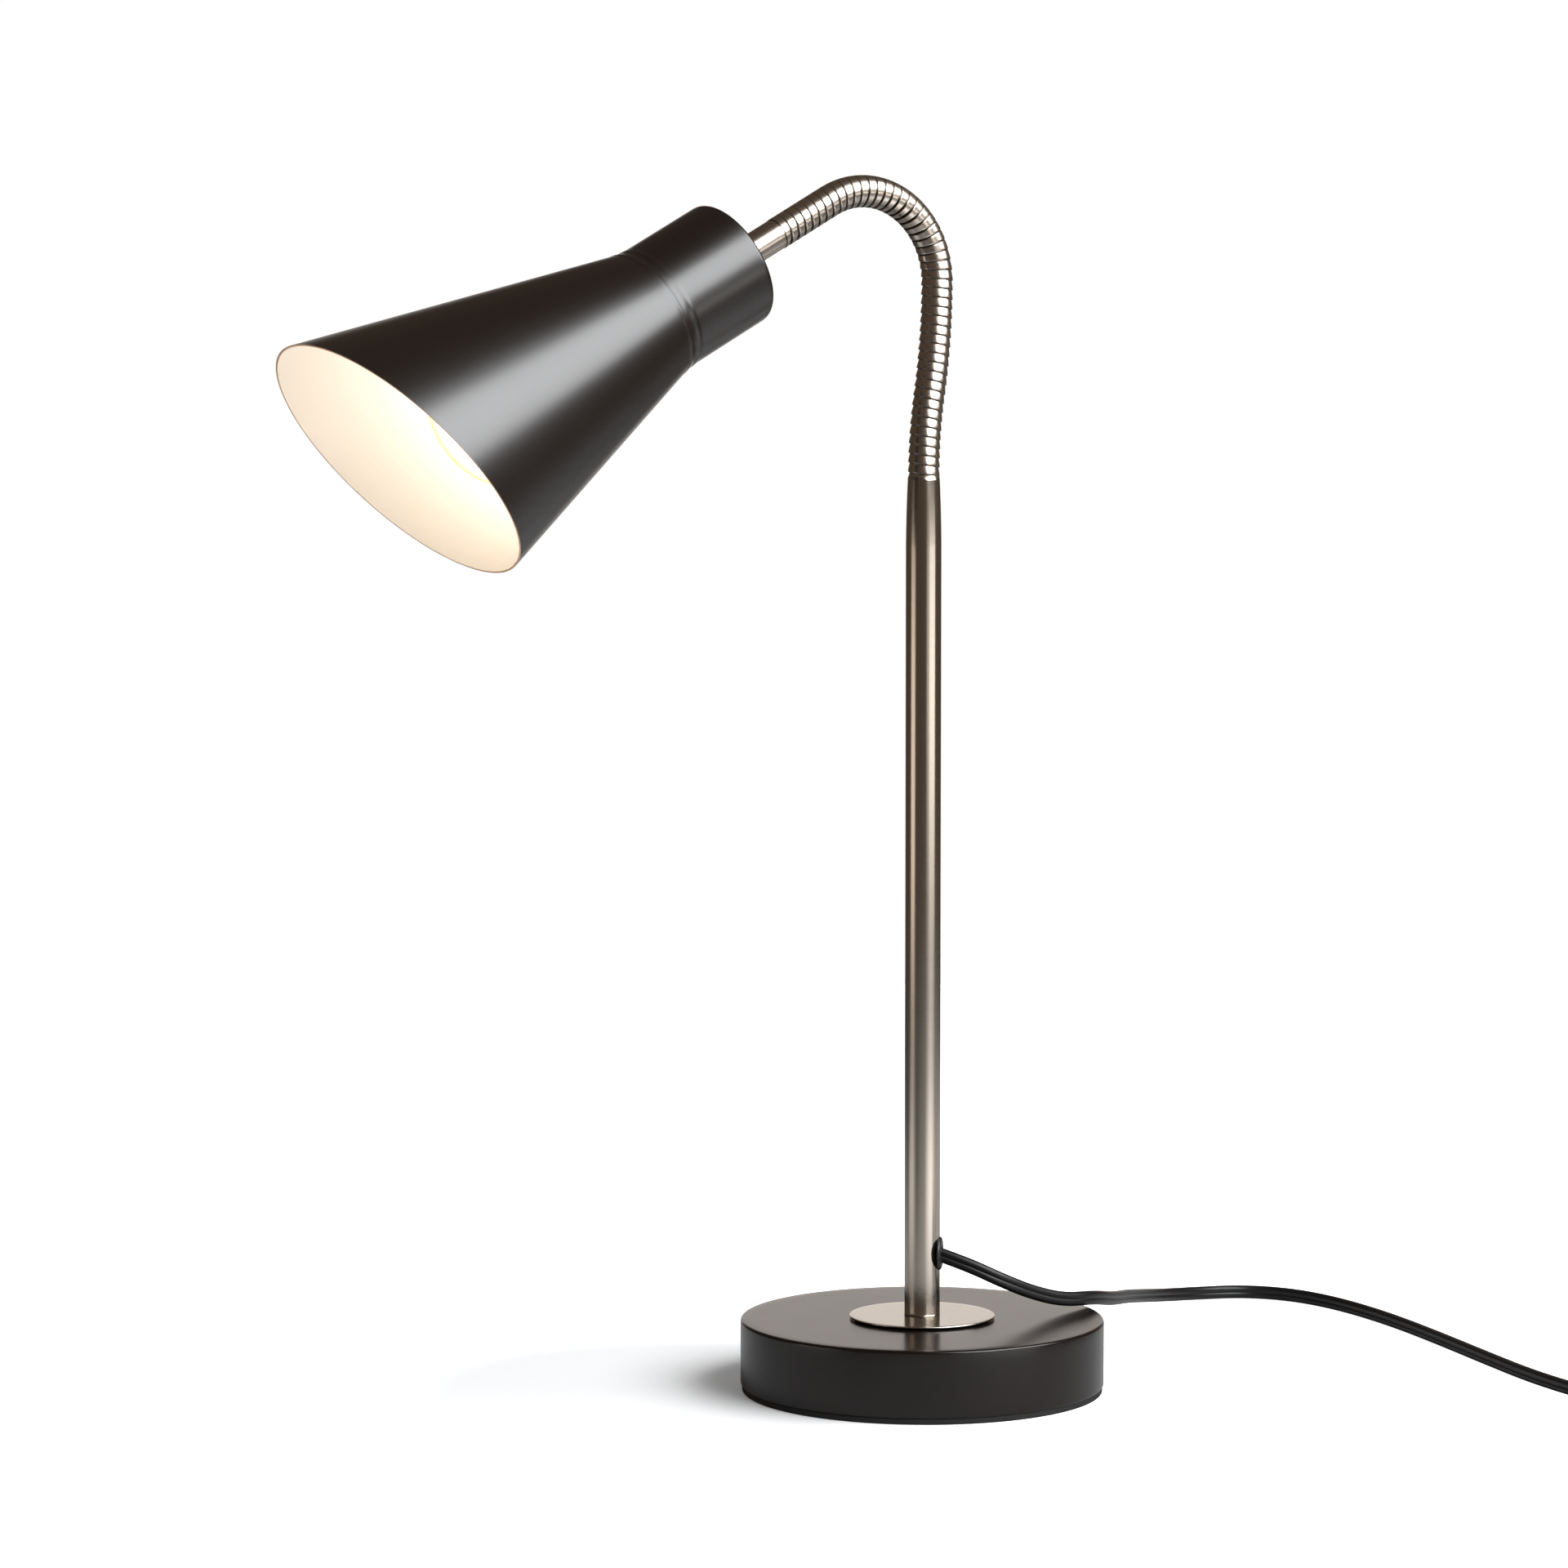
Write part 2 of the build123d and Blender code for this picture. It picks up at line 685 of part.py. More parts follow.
# Hank of spare cord: pairs of arcs from each quarter turn to the next, in one unbroken tube
coil_exit = coil_center + Vector(coil_radius, cord_width, coil_low + coil_layer)
with BuildPart() as cord_coil:
    with BuildLine() as coil_path:
        Line(coil_entry, coil_place(0))
        for quarter in range(int(coil_turns * 4)):
            start = coil_place(quarter / 4)
            end = coil_place(quarter / 4 + 0.25)
            way_in = Vector(1, 0, 0) if quarter == 0 else coil_heading(quarter / 4)
            way_out = coil_heading(quarter / 4 + 0.25)
            if quarter == int(coil_turns * 4) - 1:
                way_out = Vector(0, 1, 0)
            chord = end - start
            both = way_in + way_out
            bend = 2 * (1 - way_in.dot(way_out))
            lean = chord.dot(both)
            reach = (-lean + (lean * lean + bend * chord.dot(chord)) ** 0.5) / bend
            middle = (start + way_in * reach + end - way_out * reach) * 0.5
            TangentArc(start, middle, tangent=way_in)
            TangentArc(middle, end, tangent=(end - way_out * reach) - (start + way_in * reach))
        Line(coil_place(coil_turns), coil_exit)
    with BuildSketch(Plane(origin=coil_entry, x_dir=(0, 1, 0), z_dir=(1, 0, 0))):
        Rectangle(cord_thickness, cord_width)
    sweep()

# Tie around the hank
tie_inner = coil_reach(int(coil_turns / 2) - 0.25) - cord_thickness / 2 - 3 * tie_thickness
tie_outer = coil_reach(coil_turns - 0.5) + cord_thickness / 2 + 2 * tie_thickness
tie_top = coil_low + coil_layer + cord_width / 2 + 2 * tie_thickness
tie_width_inside = tie_outer - tie_inner - 2 * tie_thickness
tie_middle = coil_center - Vector((tie_inner + tie_outer) / 2, 0, 0)
tie_plane = Plane(origin=tie_middle, z_dir=(0, 1, 0), x_dir=(1, 0, 0))
with BuildPart() as coil_tie:
    with BuildSketch(tie_plane):
        with Locations((0, -tie_top / 2)):
            Rectangle(tie_outer - tie_inner, tie_top)
            Rectangle(tie_width_inside, tie_top - 2 * tie_thickness, mode=Mode.SUBTRACT)
    extrude(amount=tie_width / 2, both=True)

# Cord from the hank to the plug
plug_axis = plug_thickness / 2
plug_points = [
    coil_exit,
    coil_exit + Vector(0, plug_run_length / 3, 0),
    Vector(coil_exit.X, coil_exit.Y + plug_run_length * 2 / 3, plug_axis),
    Vector(coil_exit.X, coil_exit.Y + plug_run_length, plug_axis),
]
with BuildPart() as cord_to_plug:
    with BuildLine() as plug_path:
        FilletPolyline(*plug_points, radius=cord_tube(plug_points))
    with BuildSketch(Plane(origin=plug_path.line @ 0, z_dir=plug_path.line % 0)):
        RegularPolygon(cord_width / 2, 6)
    sweep()

# Flat two-pin plug with a tapered strain relief on its tail
plug_tail_point = plug_points[-1] + Vector(0, plug_relief_length, 0)
plug_floor = Plane(origin=(coil_exit.X, plug_tail_point.Y, 0), x_dir=(0, 1, 0), z_dir=(0, 0, 1))
plug_face = plug_floor.origin + Vector(0, plug_length, plug_axis)
with BuildPart() as plug_body:
    with BuildSketch(plug_floor):
        Polygon(
            (0, -plug_tail / 2),
            (0, plug_tail / 2),
            (plug_length * 0.36, plug_tail / 2 + 1),
            (plug_length * 0.72, plug_width / 2),
            (plug_length, plug_width / 2),
            (plug_length, -plug_width / 2),
            (plug_length * 0.72, -plug_width / 2),
            (plug_length * 0.36, -plug_tail / 2 - 1),
            align=None,
        )
    extrude(amount=plug_thickness)
    chamfer(plug_body.edges().group_by(Axis.Z)[0], plug_thickness / 8)
    chamfer(plug_body.edges().group_by(Axis.Z)[-1], plug_thickness / 8)
    with BuildSketch(Plane(origin=plug_points[-1], x_dir=(1, 0, 0), z_dir=(0, 1, 0))):
        Circle(plug_relief_diameter / 2)
    with BuildSketch(Plane(origin=plug_tail_point, x_dir=(1, 0, 0), z_dir=(0, 1, 0))):
        Circle(plug_tail * 0.42)
    loft(ruled=True)
    with BuildSketch(Plane(origin=plug_face, x_dir=(1, 0, 0), z_dir=(0, -1, 0))):
        with GridLocations(pin_spacing, 0, 2, 1):
            Circle(pin_diameter / 2 + fit)
    extrude(amount=plug_length / 4, mode=Mode.SUBTRACT)

with BuildPart() as plug_pins:
    with BuildSketch(Plane(origin=plug_face + Vector(0, pin_length, 0), x_dir=(1, 0, 0), z_dir=(0, -1, 0))):
        with GridLocations(pin_spacing, 0, 2, 1):
            Circle(pin_diameter / 2)
    extrude(amount=pin_length + plug_length / 4)

# Cord lengths, volume against section times length, and the least gap of the hank to itself
coil_wire = coil_path.wire()
coil_samples = [coil_wire @ (i / 1000) for i in range(1001)]
step_length = coil_wire.length / 1000
apart = int(2 * pi * (coil_radius - coil_pitch * coil_turns / 2) * 0.5 / step_length)
gaps = []
for i, one in enumerate(coil_samples):
    for other in coil_samples[i + apart:]:
        away = other - one
        flat = (away.X ** 2 + away.Y ** 2) ** 0.5
        gaps.append(max(flat - cord_thickness, abs(away.Z) - cord_width))
print(f"hank: least gap to itself {min(gaps):.2f} mm, length {coil_wire.length:.0f} mm")
hexagon = 3 * 3 ** 0.5 / 2 * (cord_width / 2) ** 2
for cord, path, section in (
    (cord_to_switch, switch_path, hexagon),
    (cord_to_coil, coil_lead_path, hexagon),
    (cord_coil, coil_path, cord_thickness * cord_width),
    (cord_to_plug, plug_path, hexagon),
):
    run = path.wire().length
    print(f"cord run {run:.0f} mm, volume over section times length {cord.part.volume / (run * section):.3f}")
for joint in range(1, segment_count):
    spot = neck_plane(joint * segment_length)
    place, way = spot.origin, spot.z_dir
    print(f"neck joint {joint}: {place.X:.3f} {place.Z:.3f} along {way.X:.5f} {way.Z:.5f}")
print(f"cap {cap_point.X:.3f} {cap_point.Z:.3f} along {head_way.X:.5f} {head_way.Z:.5f}")
rocker_spot = switch_floor.offset(axle_height).origin
print(f"rocker {rocker_spot.X:.3f} {rocker_spot.Y:.3f} {rocker_spot.Z:.3f}", end=" ")
print(f"across {switch_side.X:.5f} {switch_side.Y:.5f}")

# Export of every other piece
pieces = {
    "base_pad": base_pad,
    "base_shell": base_shell,
    "base_weight": base_weight,
    "base_nut": base_nut,
    "lock_washer": lock_washer,
    "base_nipple": base_nipple,
    "foot_disc": foot_disc,
    "stem_tube": stem_tube,
    "stem_insert": stem_insert,
    "cord_grommet": cord_grommet,
    "stem_lead": stem_lead,
    "neck_socket": neck_socket,
    "neck_ferrule": neck_ferrule,
    "ferrule_nipple": ferrule_nipple,
    "shade": shade,
    "shade_washer": shade_washer,
    "shade_nut": shade_nut,
    "holder_base": holder_base,
    "holder_shell": holder_shell,
    "holder_contact": holder_contact,
    "bulb_contact": bulb_contact,
    "bulb_cap": bulb_cap,
    "bulb_glass": bulb_glass,
    "cord_to_switch": cord_to_switch,
    "switch_lower": switch_lower,
    "switch_upper": switch_upper,
    "switch_rocker": switch_rocker,
    "switch_screws": switch_screws,
    "cord_to_coil": cord_to_coil,
    "cord_coil": cord_coil,
    "coil_tie": coil_tie,
    "cord_to_plug": cord_to_plug,
    "plug_body": plug_body,
    "plug_pins": plug_pins,
}
for name, piece in pieces.items():
    piece.part.label = name
    export_step(piece.part, f"parts/{name}.step")
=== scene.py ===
"""Table lamp with a nickel gooseneck and a black cone shade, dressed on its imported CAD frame."""
from math import cos, pi, radians, sin, tan

import bmesh
import bpy
import numpy as np
from mathutils import Matrix, Vector


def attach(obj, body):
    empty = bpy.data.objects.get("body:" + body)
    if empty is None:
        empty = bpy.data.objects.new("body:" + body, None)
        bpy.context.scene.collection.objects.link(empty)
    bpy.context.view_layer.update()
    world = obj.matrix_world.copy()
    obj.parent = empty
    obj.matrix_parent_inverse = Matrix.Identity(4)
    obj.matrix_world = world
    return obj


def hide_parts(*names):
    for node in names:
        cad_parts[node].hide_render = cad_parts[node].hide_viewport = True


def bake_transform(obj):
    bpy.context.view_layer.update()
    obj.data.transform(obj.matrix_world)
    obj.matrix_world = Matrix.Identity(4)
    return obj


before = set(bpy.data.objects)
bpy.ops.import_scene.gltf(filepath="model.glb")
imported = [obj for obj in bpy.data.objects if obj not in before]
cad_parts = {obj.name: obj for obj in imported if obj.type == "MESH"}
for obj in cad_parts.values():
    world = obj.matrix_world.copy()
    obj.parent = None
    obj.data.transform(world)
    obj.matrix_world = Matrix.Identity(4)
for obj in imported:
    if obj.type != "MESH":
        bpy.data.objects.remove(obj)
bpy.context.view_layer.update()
scene = bpy.context.scene
scene.view_settings.view_transform = "Standard"


# Camera: a long lens level with the lamp's shade, turned by about a third of a right angle from square on
# to the plane of the neck and tipped down by four degrees, as the photograph was taken.
camera_place = Vector((-0.9832, -1.3997, 0.3377))
camera_turn = radians(33.43)
camera_tip = radians(4.03)
across = Vector((cos(camera_turn), -sin(camera_turn), 0))
ahead = Vector((sin(camera_turn) * cos(camera_tip), cos(camera_turn) * cos(camera_tip), -sin(camera_tip)))
upward = across.cross(ahead)
camera = bpy.data.objects.new("camera", bpy.data.cameras.new("camera"))
camera.data.lens = 110.8
camera.data.sensor_width = 36
camera.data.clip_end = 50
camera.matrix_world = Matrix((
    (across.x, upward.x, -ahead.x, camera_place.x),
    (across.y, upward.y, -ahead.y, camera_place.y),
    (across.z, upward.z, -ahead.z, camera_place.z),
    (0, 0, 0, 1),
))
scene.collection.objects.link(camera)
scene.camera = camera


# Mains cord: black PVC, two round cores side by side, which lies on its edge from the grommet over the
# rim of the base to a switch, on to a tied hank and to the plug. Its route follows the CAD tube's.
cord_width = 0.0052
cord_core = 0.0016
outlet_turn = radians(-42)
outlet_height = 0.0492
outlet_way = np.array([cos(outlet_turn), sin(outlet_turn), 0])
cord_route = np.array([
    (23.4, -17.2, 39.2), (37.8, -17.2, 33.3), (51.1, -17.0, 29.7), (66.1, -14.3, 28.8), (86.7, 1.5, 23.9),
    (114.8, 29.6, 17.9), (142.9, 56.7, 11.3), (168.6, 75.7, 6.2), (190.4, 83.0, 3.7), (209.6, 80.5, 3.0),
    (221.2, 68.0, 2.8), (225.2, 50.4, 2.8), (224.4, 27.0, 2.8), (219.0, -4.0, 2.8), (209.5, -40.0, 2.8),
    (198.5, -77.8, 2.8), (188.0, -114.5, 2.9), (180.8, -148.1, 3.6), (176.4, -173.9, 4.8), (175.0, -185.0, 4.8),
]) / 1000
outlet_points = np.outer((0.0048, 0.0164), outlet_way) + [(0, 0, outlet_height), (0, 0, outlet_height - 0.0038)]
switch_start = cord_route[-1]
switch_way = (cord_route[-1] - cord_route[-2]) / np.linalg.norm(cord_route[-1] - cord_route[-2])
switch_length = 0.062
switch_end = switch_start + switch_way * switch_length
hank_centre = np.array([0.224, -0.258, 0])
hank_radius, hank_pitch, hank_turns = 0.0341, 0.005, 6.25
hank_low, hank_layer = 0.0033, 0.0058
hank_steps = np.linspace(0, hank_turns, 151)
hank_reach = hank_radius - hank_pitch * (hank_turns / 2 - np.abs(hank_steps - hank_turns / 2))
hank_angle = 2 * pi * hank_steps - pi / 2
hank_rise = np.clip((hank_steps - 3.0) / 0.25, 0, 1)
hank_points = hank_centre + np.stack([
    hank_reach * np.cos(hank_angle),
    hank_reach * np.sin(hank_angle),
    hank_low + hank_layer * hank_rise,
], axis=1)
hank_end = hank_points[-1]
plug_middle = 0.00685
plug_start = np.array([hank_end[0], hank_end[1] + 0.05, plug_middle])
cord_points = np.vstack([
    outlet_points,
    cord_route,
    switch_end,
    switch_end + switch_way * 0.018,
    (0.1748, -0.2836, 0.0038),
    (0.196, hank_points[0, 1], hank_low),
    hank_points,
    hank_end + (0, 0.020, 0),
    plug_start - (0, 0.014, 0),
    plug_start,
])
route_curve = bpy.data.curves.new("cord_route", "CURVE")
route_curve.dimensions = "3D"
route_curve.resolution_u = 6
route = route_curve.splines.new("NURBS")
route.points.add(len(cord_points) - 1)
route.points.foreach_set("co", np.column_stack([cord_points, np.ones(len(cord_points))]).ravel())
route.order_u = 3
route.use_endpoint_u = True
route_object = bpy.data.objects.new("cord_route", route_curve)
route_mesh = bpy.data.meshes.new_from_object(route_object)
cord_line = np.array([v.co for v in route_mesh.vertices])
bpy.data.objects.remove(route_object)


def unit(vectors):
    """Each vector divided by its length."""
    return vectors / np.linalg.norm(vectors, axis=-1, keepdims=True)


def surface(name, grid, material, around=False, along=False):
    """Mesh object from a grid of points: rows run along the piece and columns across it, each cell is one
    face, and around or along joins the last column or row to the first. Rings of no size close to one
    point, and the UV map counts in metres."""
    rows, columns = grid.shape[:2]
    r = np.arange(rows if along else rows - 1)
    c = np.arange(columns if around else columns - 1)
    r, c = np.meshgrid(r, c, indexing="ij")
    r2, c2 = (r + 1) % rows, (c + 1) % columns
    corners = [r * columns + c, r * columns + c2, r2 * columns + c2, r2 * columns + c]
    faces = np.stack(corners, axis=-1).reshape(-1, 4)
    mesh = bpy.data.meshes.new(name)
    mesh.vertices.add(rows * columns)
    mesh.vertices.foreach_set("co", grid.reshape(-1).astype(np.float32))
    mesh.loops.add(faces.size)
    mesh.loops.foreach_set("vertex_index", faces.reshape(-1).astype(np.int32))
    mesh.polygons.add(len(faces))
    mesh.polygons.foreach_set("loop_start", np.arange(0, faces.size, 4, dtype=np.int32))
    mesh.polygons.foreach_set("use_smooth", np.ones(len(faces), bool))
    walk = np.concatenate([[0], np.cumsum(np.linalg.norm(np.diff(grid[:, 0], axis=0), axis=1))])
    girth = np.concatenate([[0], np.cumsum(np.linalg.norm(np.diff(grid[rows // 2], axis=0), axis=1))])
    step_walk = np.append(walk, 2 * walk[-1] - walk[-2])
    step_girth = np.append(girth, 2 * girth[-1] - girth[-2])
    uv = np.stack([
        np.stack([step_girth[c], step_girth[c + 1], step_girth[c + 1], step_girth[c]], axis=-1),
        np.stack([step_walk[r], step_walk[r], step_walk[r + 1], step_walk[r + 1]], axis=-1),
    ], axis=-1).reshape(-1)
    mesh.uv_layers.new(name="UVMap").data.foreach_set("uv", uv.astype(np.float32))
    mesh.update(calc_edges=True)
    shell = bmesh.new()
    shell.from_mesh(mesh)
    bmesh.ops.remove_doubles(shell, verts=shell.verts, dist=1e-7)
    shell.to_mesh(mesh)
    shell.free()
    mesh.materials.append(material)
    piece = bpy.data.objects.new(name, mesh)
    scene.collection.objects.link(piece)
    return piece


def srgb(code):
    """Linear colour with full opacity from an sRGB hex code."""
    parts = np.array([int(code[i:i + 2], 16) for i in (1, 3, 5)]) / 255
    linear = np.where(parts <= 0.04045, parts / 12.92, ((parts + 0.055) / 1.055) ** 2.4)
    return (*linear.tolist(), 1.0)


def add_node(tree, kind, values=None, **options):
    """Adds a node: options set its own properties, values fill its inputs with numbers or other outputs."""
    new = tree.nodes.new(kind)
    for name, value in options.items():
        setattr(new, name, value)
    for name, value in (values or {}).items():
        if isinstance(value, bpy.types.NodeSocket):
            tree.links.new(value, new.inputs[name])
        else:
            new.inputs[name].default_value = value
    return new


def new_finish(name):
    """An empty material with its node tree and its main shader."""
    material = bpy.data.materials.new(name)
    material.use_nodes = True
    return material, material.node_tree, material.node_tree.nodes["Principled BSDF"]


# Extruded PVC: smooth and a little greasy, with faint die lines along the cord, 0.4 mm apart.
cord_pvc, tree, shader = new_finish("black_extruded_pvc")
place = add_node(tree, "ShaderNodeUVMap", uv_map="UVMap")
lines = add_node(tree, "ShaderNodeMapping", {"Vector": place.outputs["UV"], "Scale": (1 / 0.0004, 1 / 0.03, 1)})
streaks = add_node(tree, "ShaderNodeTexNoise", {"Vector": lines.outputs["Vector"], "Scale": 1, "Detail": 2})
tone = add_node(tree, "ShaderNodeMix", {
    0: streaks.outputs["Fac"], 6: srgb("#0c0c0d"), 7: srgb("#161617")}, data_type="RGBA")
relief = add_node(tree, "ShaderNodeBump", {"Height": streaks.outputs["Fac"], "Strength": 0.25, "Distance": 0.00005})
tree.links.new(tone.outputs[2], shader.inputs["Base Color"])
tree.links.new(relief.outputs["Normal"], shader.inputs["Normal"])
shader.inputs["Roughness"].default_value = 0.36
shader.inputs["IOR"].default_value = 1.38
cord_front = unit(np.gradient(cord_line, axis=0))
cord_side = unit(np.cross(cord_front, (0, 0, 1)))
cord_rise = np.cross(cord_side, cord_front)

# Section of the cord: in each direction, how far the outline of the nearer of its two round cores reaches.
turn = np.linspace(0, 2 * pi, 40, endpoint=False)
core_offset = cord_width / 2 - cord_core
core_reach = np.abs(core_offset * np.cos(turn)) + np.sqrt(cord_core**2 - (core_offset * np.sin(turn)) ** 2)
cord_grid = (
    cord_line[:, None]
    + (core_reach * np.sin(turn))[None, :, None] * cord_side[:, None]
    + (core_reach * np.cos(turn))[None, :, None] * cord_rise[:, None]
)
mains_cord = surface("mains_cord", cord_grid, cord_pvc, around=True)
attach(mains_cord, "stand")
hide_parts("cord_to_switch", "cord_to_coil", "cord_coil", "cord_to_plug")


# In-line switch: two moulded ABS halves screwed together from below, with a rocker on an axle across
# the upper half. The halves meet in a fine shadow line.
switch_side = np.cross((0, 0, 1), switch_way)
switch_middle = (switch_start + switch_end) / 2 * (1, 1, 0)
switch_half_width = 0.0105
ring = np.linspace(0, 2 * pi, 96, endpoint=False)

# Moulded ABS: half glossy, with the fine spark grain of its mould, 0.5 mm apart, that softens its shine.
abs_black, tree, shader = new_finish("black_moulded_abs")
place = add_node(tree, "ShaderNodeTexCoord")
spark = add_node(tree, "ShaderNodeTexNoise", {"Vector": place.outputs["Object"], "Scale": 1 / 0.0005, "Detail": 3})
relief = add_node(tree, "ShaderNodeBump", {"Height": spark.outputs["Fac"], "Strength": 0.3, "Distance": 0.00006})
tree.links.new(relief.outputs["Normal"], shader.inputs["Normal"])
shader.inputs["Base Color"].default_value = srgb("#1c1c1d")
shader.inputs["Roughness"].default_value = 0.42
shader.inputs["IOR"].default_value = 1.54


def rounded_ring(half_length, half_width, squareness):
    """Outline of a rounded oblong: a superellipse whose power rises with its squareness."""
    power = 2 / squareness
    return np.stack([
        half_length * np.sign(np.cos(ring)) * np.abs(np.cos(ring)) ** power,
        half_width * np.sign(np.sin(ring)) * np.abs(np.sin(ring)) ** power,
    ], axis=-1)


def on_switch(outlines, heights):
    """Rings of a switch half: outlines laid along the switch at their heights above the table."""
    return (
        switch_middle
        + outlines[..., :1] * switch_way
        + outlines[..., 1:] * switch_side
        + np.asarray(heights)[:, None, None] * (0, 0, 1)
    )


half_outline = rounded_ring(switch_length / 2, switch_half_width, 7)
lower_rim = np.array([0, 0.6, 0.9, 0.97, 0.99, 1, 1, 0.99, 0.96, 0])
lower_height = np.array([0, 0, 0.0002, 0.0006, 0.0012, 0.0024, 0.0074, 0.0078, 0.00785, 0.00785])
switch_lower = surface(
    "switch_lower_half", on_switch(half_outline * lower_rim[:, None, None], lower_height), abs_black, around=True)
slot_outline = rounded_ring(0.0099, 0.0049, 24)
upper_rim = np.array([0.96, 0.99, 1, 1, 0.985, 0.95, 0.88, 0.7, 0.12, 0.02, 0, 0, 0])
upper_height = np.array([
    0.00808, 0.0081, 0.0084, 0.0116, 0.0134, 0.0144, 0.0149, 0.015, 0.015, 0.01492, 0.0147, 0.0094, 0.0081])
blend_outline = slot_outline + (half_outline - slot_outline) * upper_rim[:, None, None]
switch_upper = surface(
    "switch_upper_half", on_switch(blend_outline, upper_height), abs_black, around=True, along=True)

# Rocker: a rounded oblong seen from the side, whose top is dished by the square of the distance from the
# axle, carried across the switch and drawn in at both ends.
rocker_tilt, rocker_axle_height = radians(8), 0.0119
rocker_half_length, rocker_half_height, rocker_dish = 0.0091, 0.0023, 0.0006
rocker_walk = np.linspace(0, 2 * pi, 72, endpoint=False)
rocker_x = rocker_half_length * np.sign(np.cos(rocker_walk)) * np.abs(np.cos(rocker_walk)) ** 0.28
rocker_z = 0.0006 + rocker_half_height * np.sign(np.sin(rocker_walk)) * np.abs(np.sin(rocker_walk)) ** 0.35
dish = rocker_dish * (rocker_x / rocker_half_length) ** 2 - rocker_dish
rocker_z = rocker_z + np.where(rocker_z > 0.001, dish, 0)
rocker_x = rocker_x * np.where(rocker_z < 0, 0.8, 1)
rocker_across = np.array([-1, -1, -0.97, -0.9, -0.5, 0, 0.5, 0.9, 0.97, 1, 1]) * 0.0045
rocker_swell = np.array([0, 0.9, 0.97, 1, 1, 1, 1, 1, 0.97, 0.9, 0])
tilted_x = rocker_x * cos(rocker_tilt) + rocker_z * sin(rocker_tilt)
tilted_z = -rocker_x * sin(rocker_tilt) + rocker_z * cos(rocker_tilt)
rocker_grid = (
    switch_middle + (0, 0, rocker_axle_height)
    + (rocker_swell[:, None] * tilted_x)[..., None] * switch_way
    + rocker_across[:, None, None] * switch_side
    + (rocker_swell[:, None] * tilted_z)[..., None] * np.array((0, 0, 1))
)
switch_rocker = surface("switch_rocker_key", rocker_grid[::-1], abs_black, around=True)
for piece, node, body in (
    (switch_lower, "switch_lower", "stand"),
    (switch_upper, "switch_upper", "stand"),
    (switch_rocker, "switch_rocker", "rocker"),
):
    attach(piece, body)
    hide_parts(node)


# Hank tie and plug: a flat band round the wound cord, and a moulded two-pin plug. The plug swells from a
# tapered, ringed strain relief to its flat face. Both are of the switch's black ABS.
tie_inner, tie_outer, tie_half = 0.0172, 0.0344, 0.0035
tie_low, tie_high = 0.0003, 0.0126
tie_centre = hank_centre + (-(tie_inner + tie_outer) / 2, 0, (tie_low + tie_high) / 2)
tie_ring = np.stack([
    (tie_outer - tie_inner) / 2 * np.sign(np.cos(ring)) * np.abs(np.cos(ring)) ** 0.3,
    0 * ring,
    (tie_high - tie_low) / 2 * np.sign(np.sin(ring)) * np.abs(np.sin(ring)) ** 0.3,
], axis=-1)
tie_swell = np.array([0.955, 1, 1, 0.955, 0.955])
tie_across = np.array([-1, -0.94, 0.94, 1, -1]) * tie_half
tie_grid = tie_centre + tie_swell[:, None, None] * tie_ring + tie_across[:, None, None] * (0, 1, 0)
hank_tie = surface("hank_tie", tie_grid[::-1], abs_black, around=True)
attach(hank_tie, "stand")
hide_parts("coil_tie")

# Plug: ovals along the cord's line, whose half widths and heights in mm follow the two lists, and which
# turn from round to square towards the face.
plug_walk = np.array([0, 0, 0.4, 6, 7, 8, 13, 14, 15, 21, 22, 24, 35, 38, 42, 47, 50, 56, 57.4, 58, 58, 58]) / 1000
plug_wide = np.array([
    0, 3.2, 3.5, 3.8, 3.5, 3.9, 4.3, 4.0, 4.4, 4.8, 5.1,
    5.5, 6.6, 8.6, 12.6, 16.2, 17.3, 17.6, 17.4, 16.8, 9, 0])
plug_tall = np.array([
    0, 3.2, 3.5, 3.8, 3.5, 3.9, 4.3, 4.0, 4.4, 4.8, 5.2,
    5.8, 6.5, 6.7, 6.8, 6.8, 6.8, 6.8, 6.6, 6.1, 3, 0])
plug_square = np.clip((plug_walk - 0.02) / 0.02, 0, 1) * 2.6 + 2
plug_ring = np.stack([
    np.sign(np.cos(ring)) * np.abs(np.cos(ring)) ** (2 / plug_square[:, None]) * plug_wide[:, None] / 1000,
    np.broadcast_to(plug_walk[:, None], (len(plug_walk), len(ring))),
    np.sign(np.sin(ring)) * np.abs(np.sin(ring)) ** (2 / plug_square[:, None]) * plug_tall[:, None] / 1000,
], axis=-1)
plug_origin = np.array([hank_end[0], plug_start[1], plug_middle])
plug_shell = surface("plug_shell", plug_origin + plug_ring[::-1], abs_black, around=True)
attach(plug_shell, "stand")
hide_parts("plug_body")


# Pins of the plug: turned brass under a bright nickel plate, set in holes in the plug's face. They keep
# their CAD shape. The plate is a warm mirror with a faint haze in it.
bright_nickel, tree, shader = new_finish("bright_nickel_plate")
place = add_node(tree, "ShaderNodeTexCoord")
haze = add_node(tree, "ShaderNodeTexNoise", {"Vector": place.outputs["Object"], "Scale": 1 / 0.003, "Detail": 3})
sheen = add_node(tree, "ShaderNodeMapRange", {"Value": haze.outputs["Fac"], "To Min": 0.17, "To Max": 0.22})
tree.links.new(sheen.outputs["Result"], shader.inputs["Roughness"])
shader.inputs["Base Color"].default_value = srgb("#c9c4bb")
shader.inputs["Metallic"].default_value = 1
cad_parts["plug_pins"].data.materials.clear()
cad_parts["plug_pins"].data.materials.append(bright_nickel)


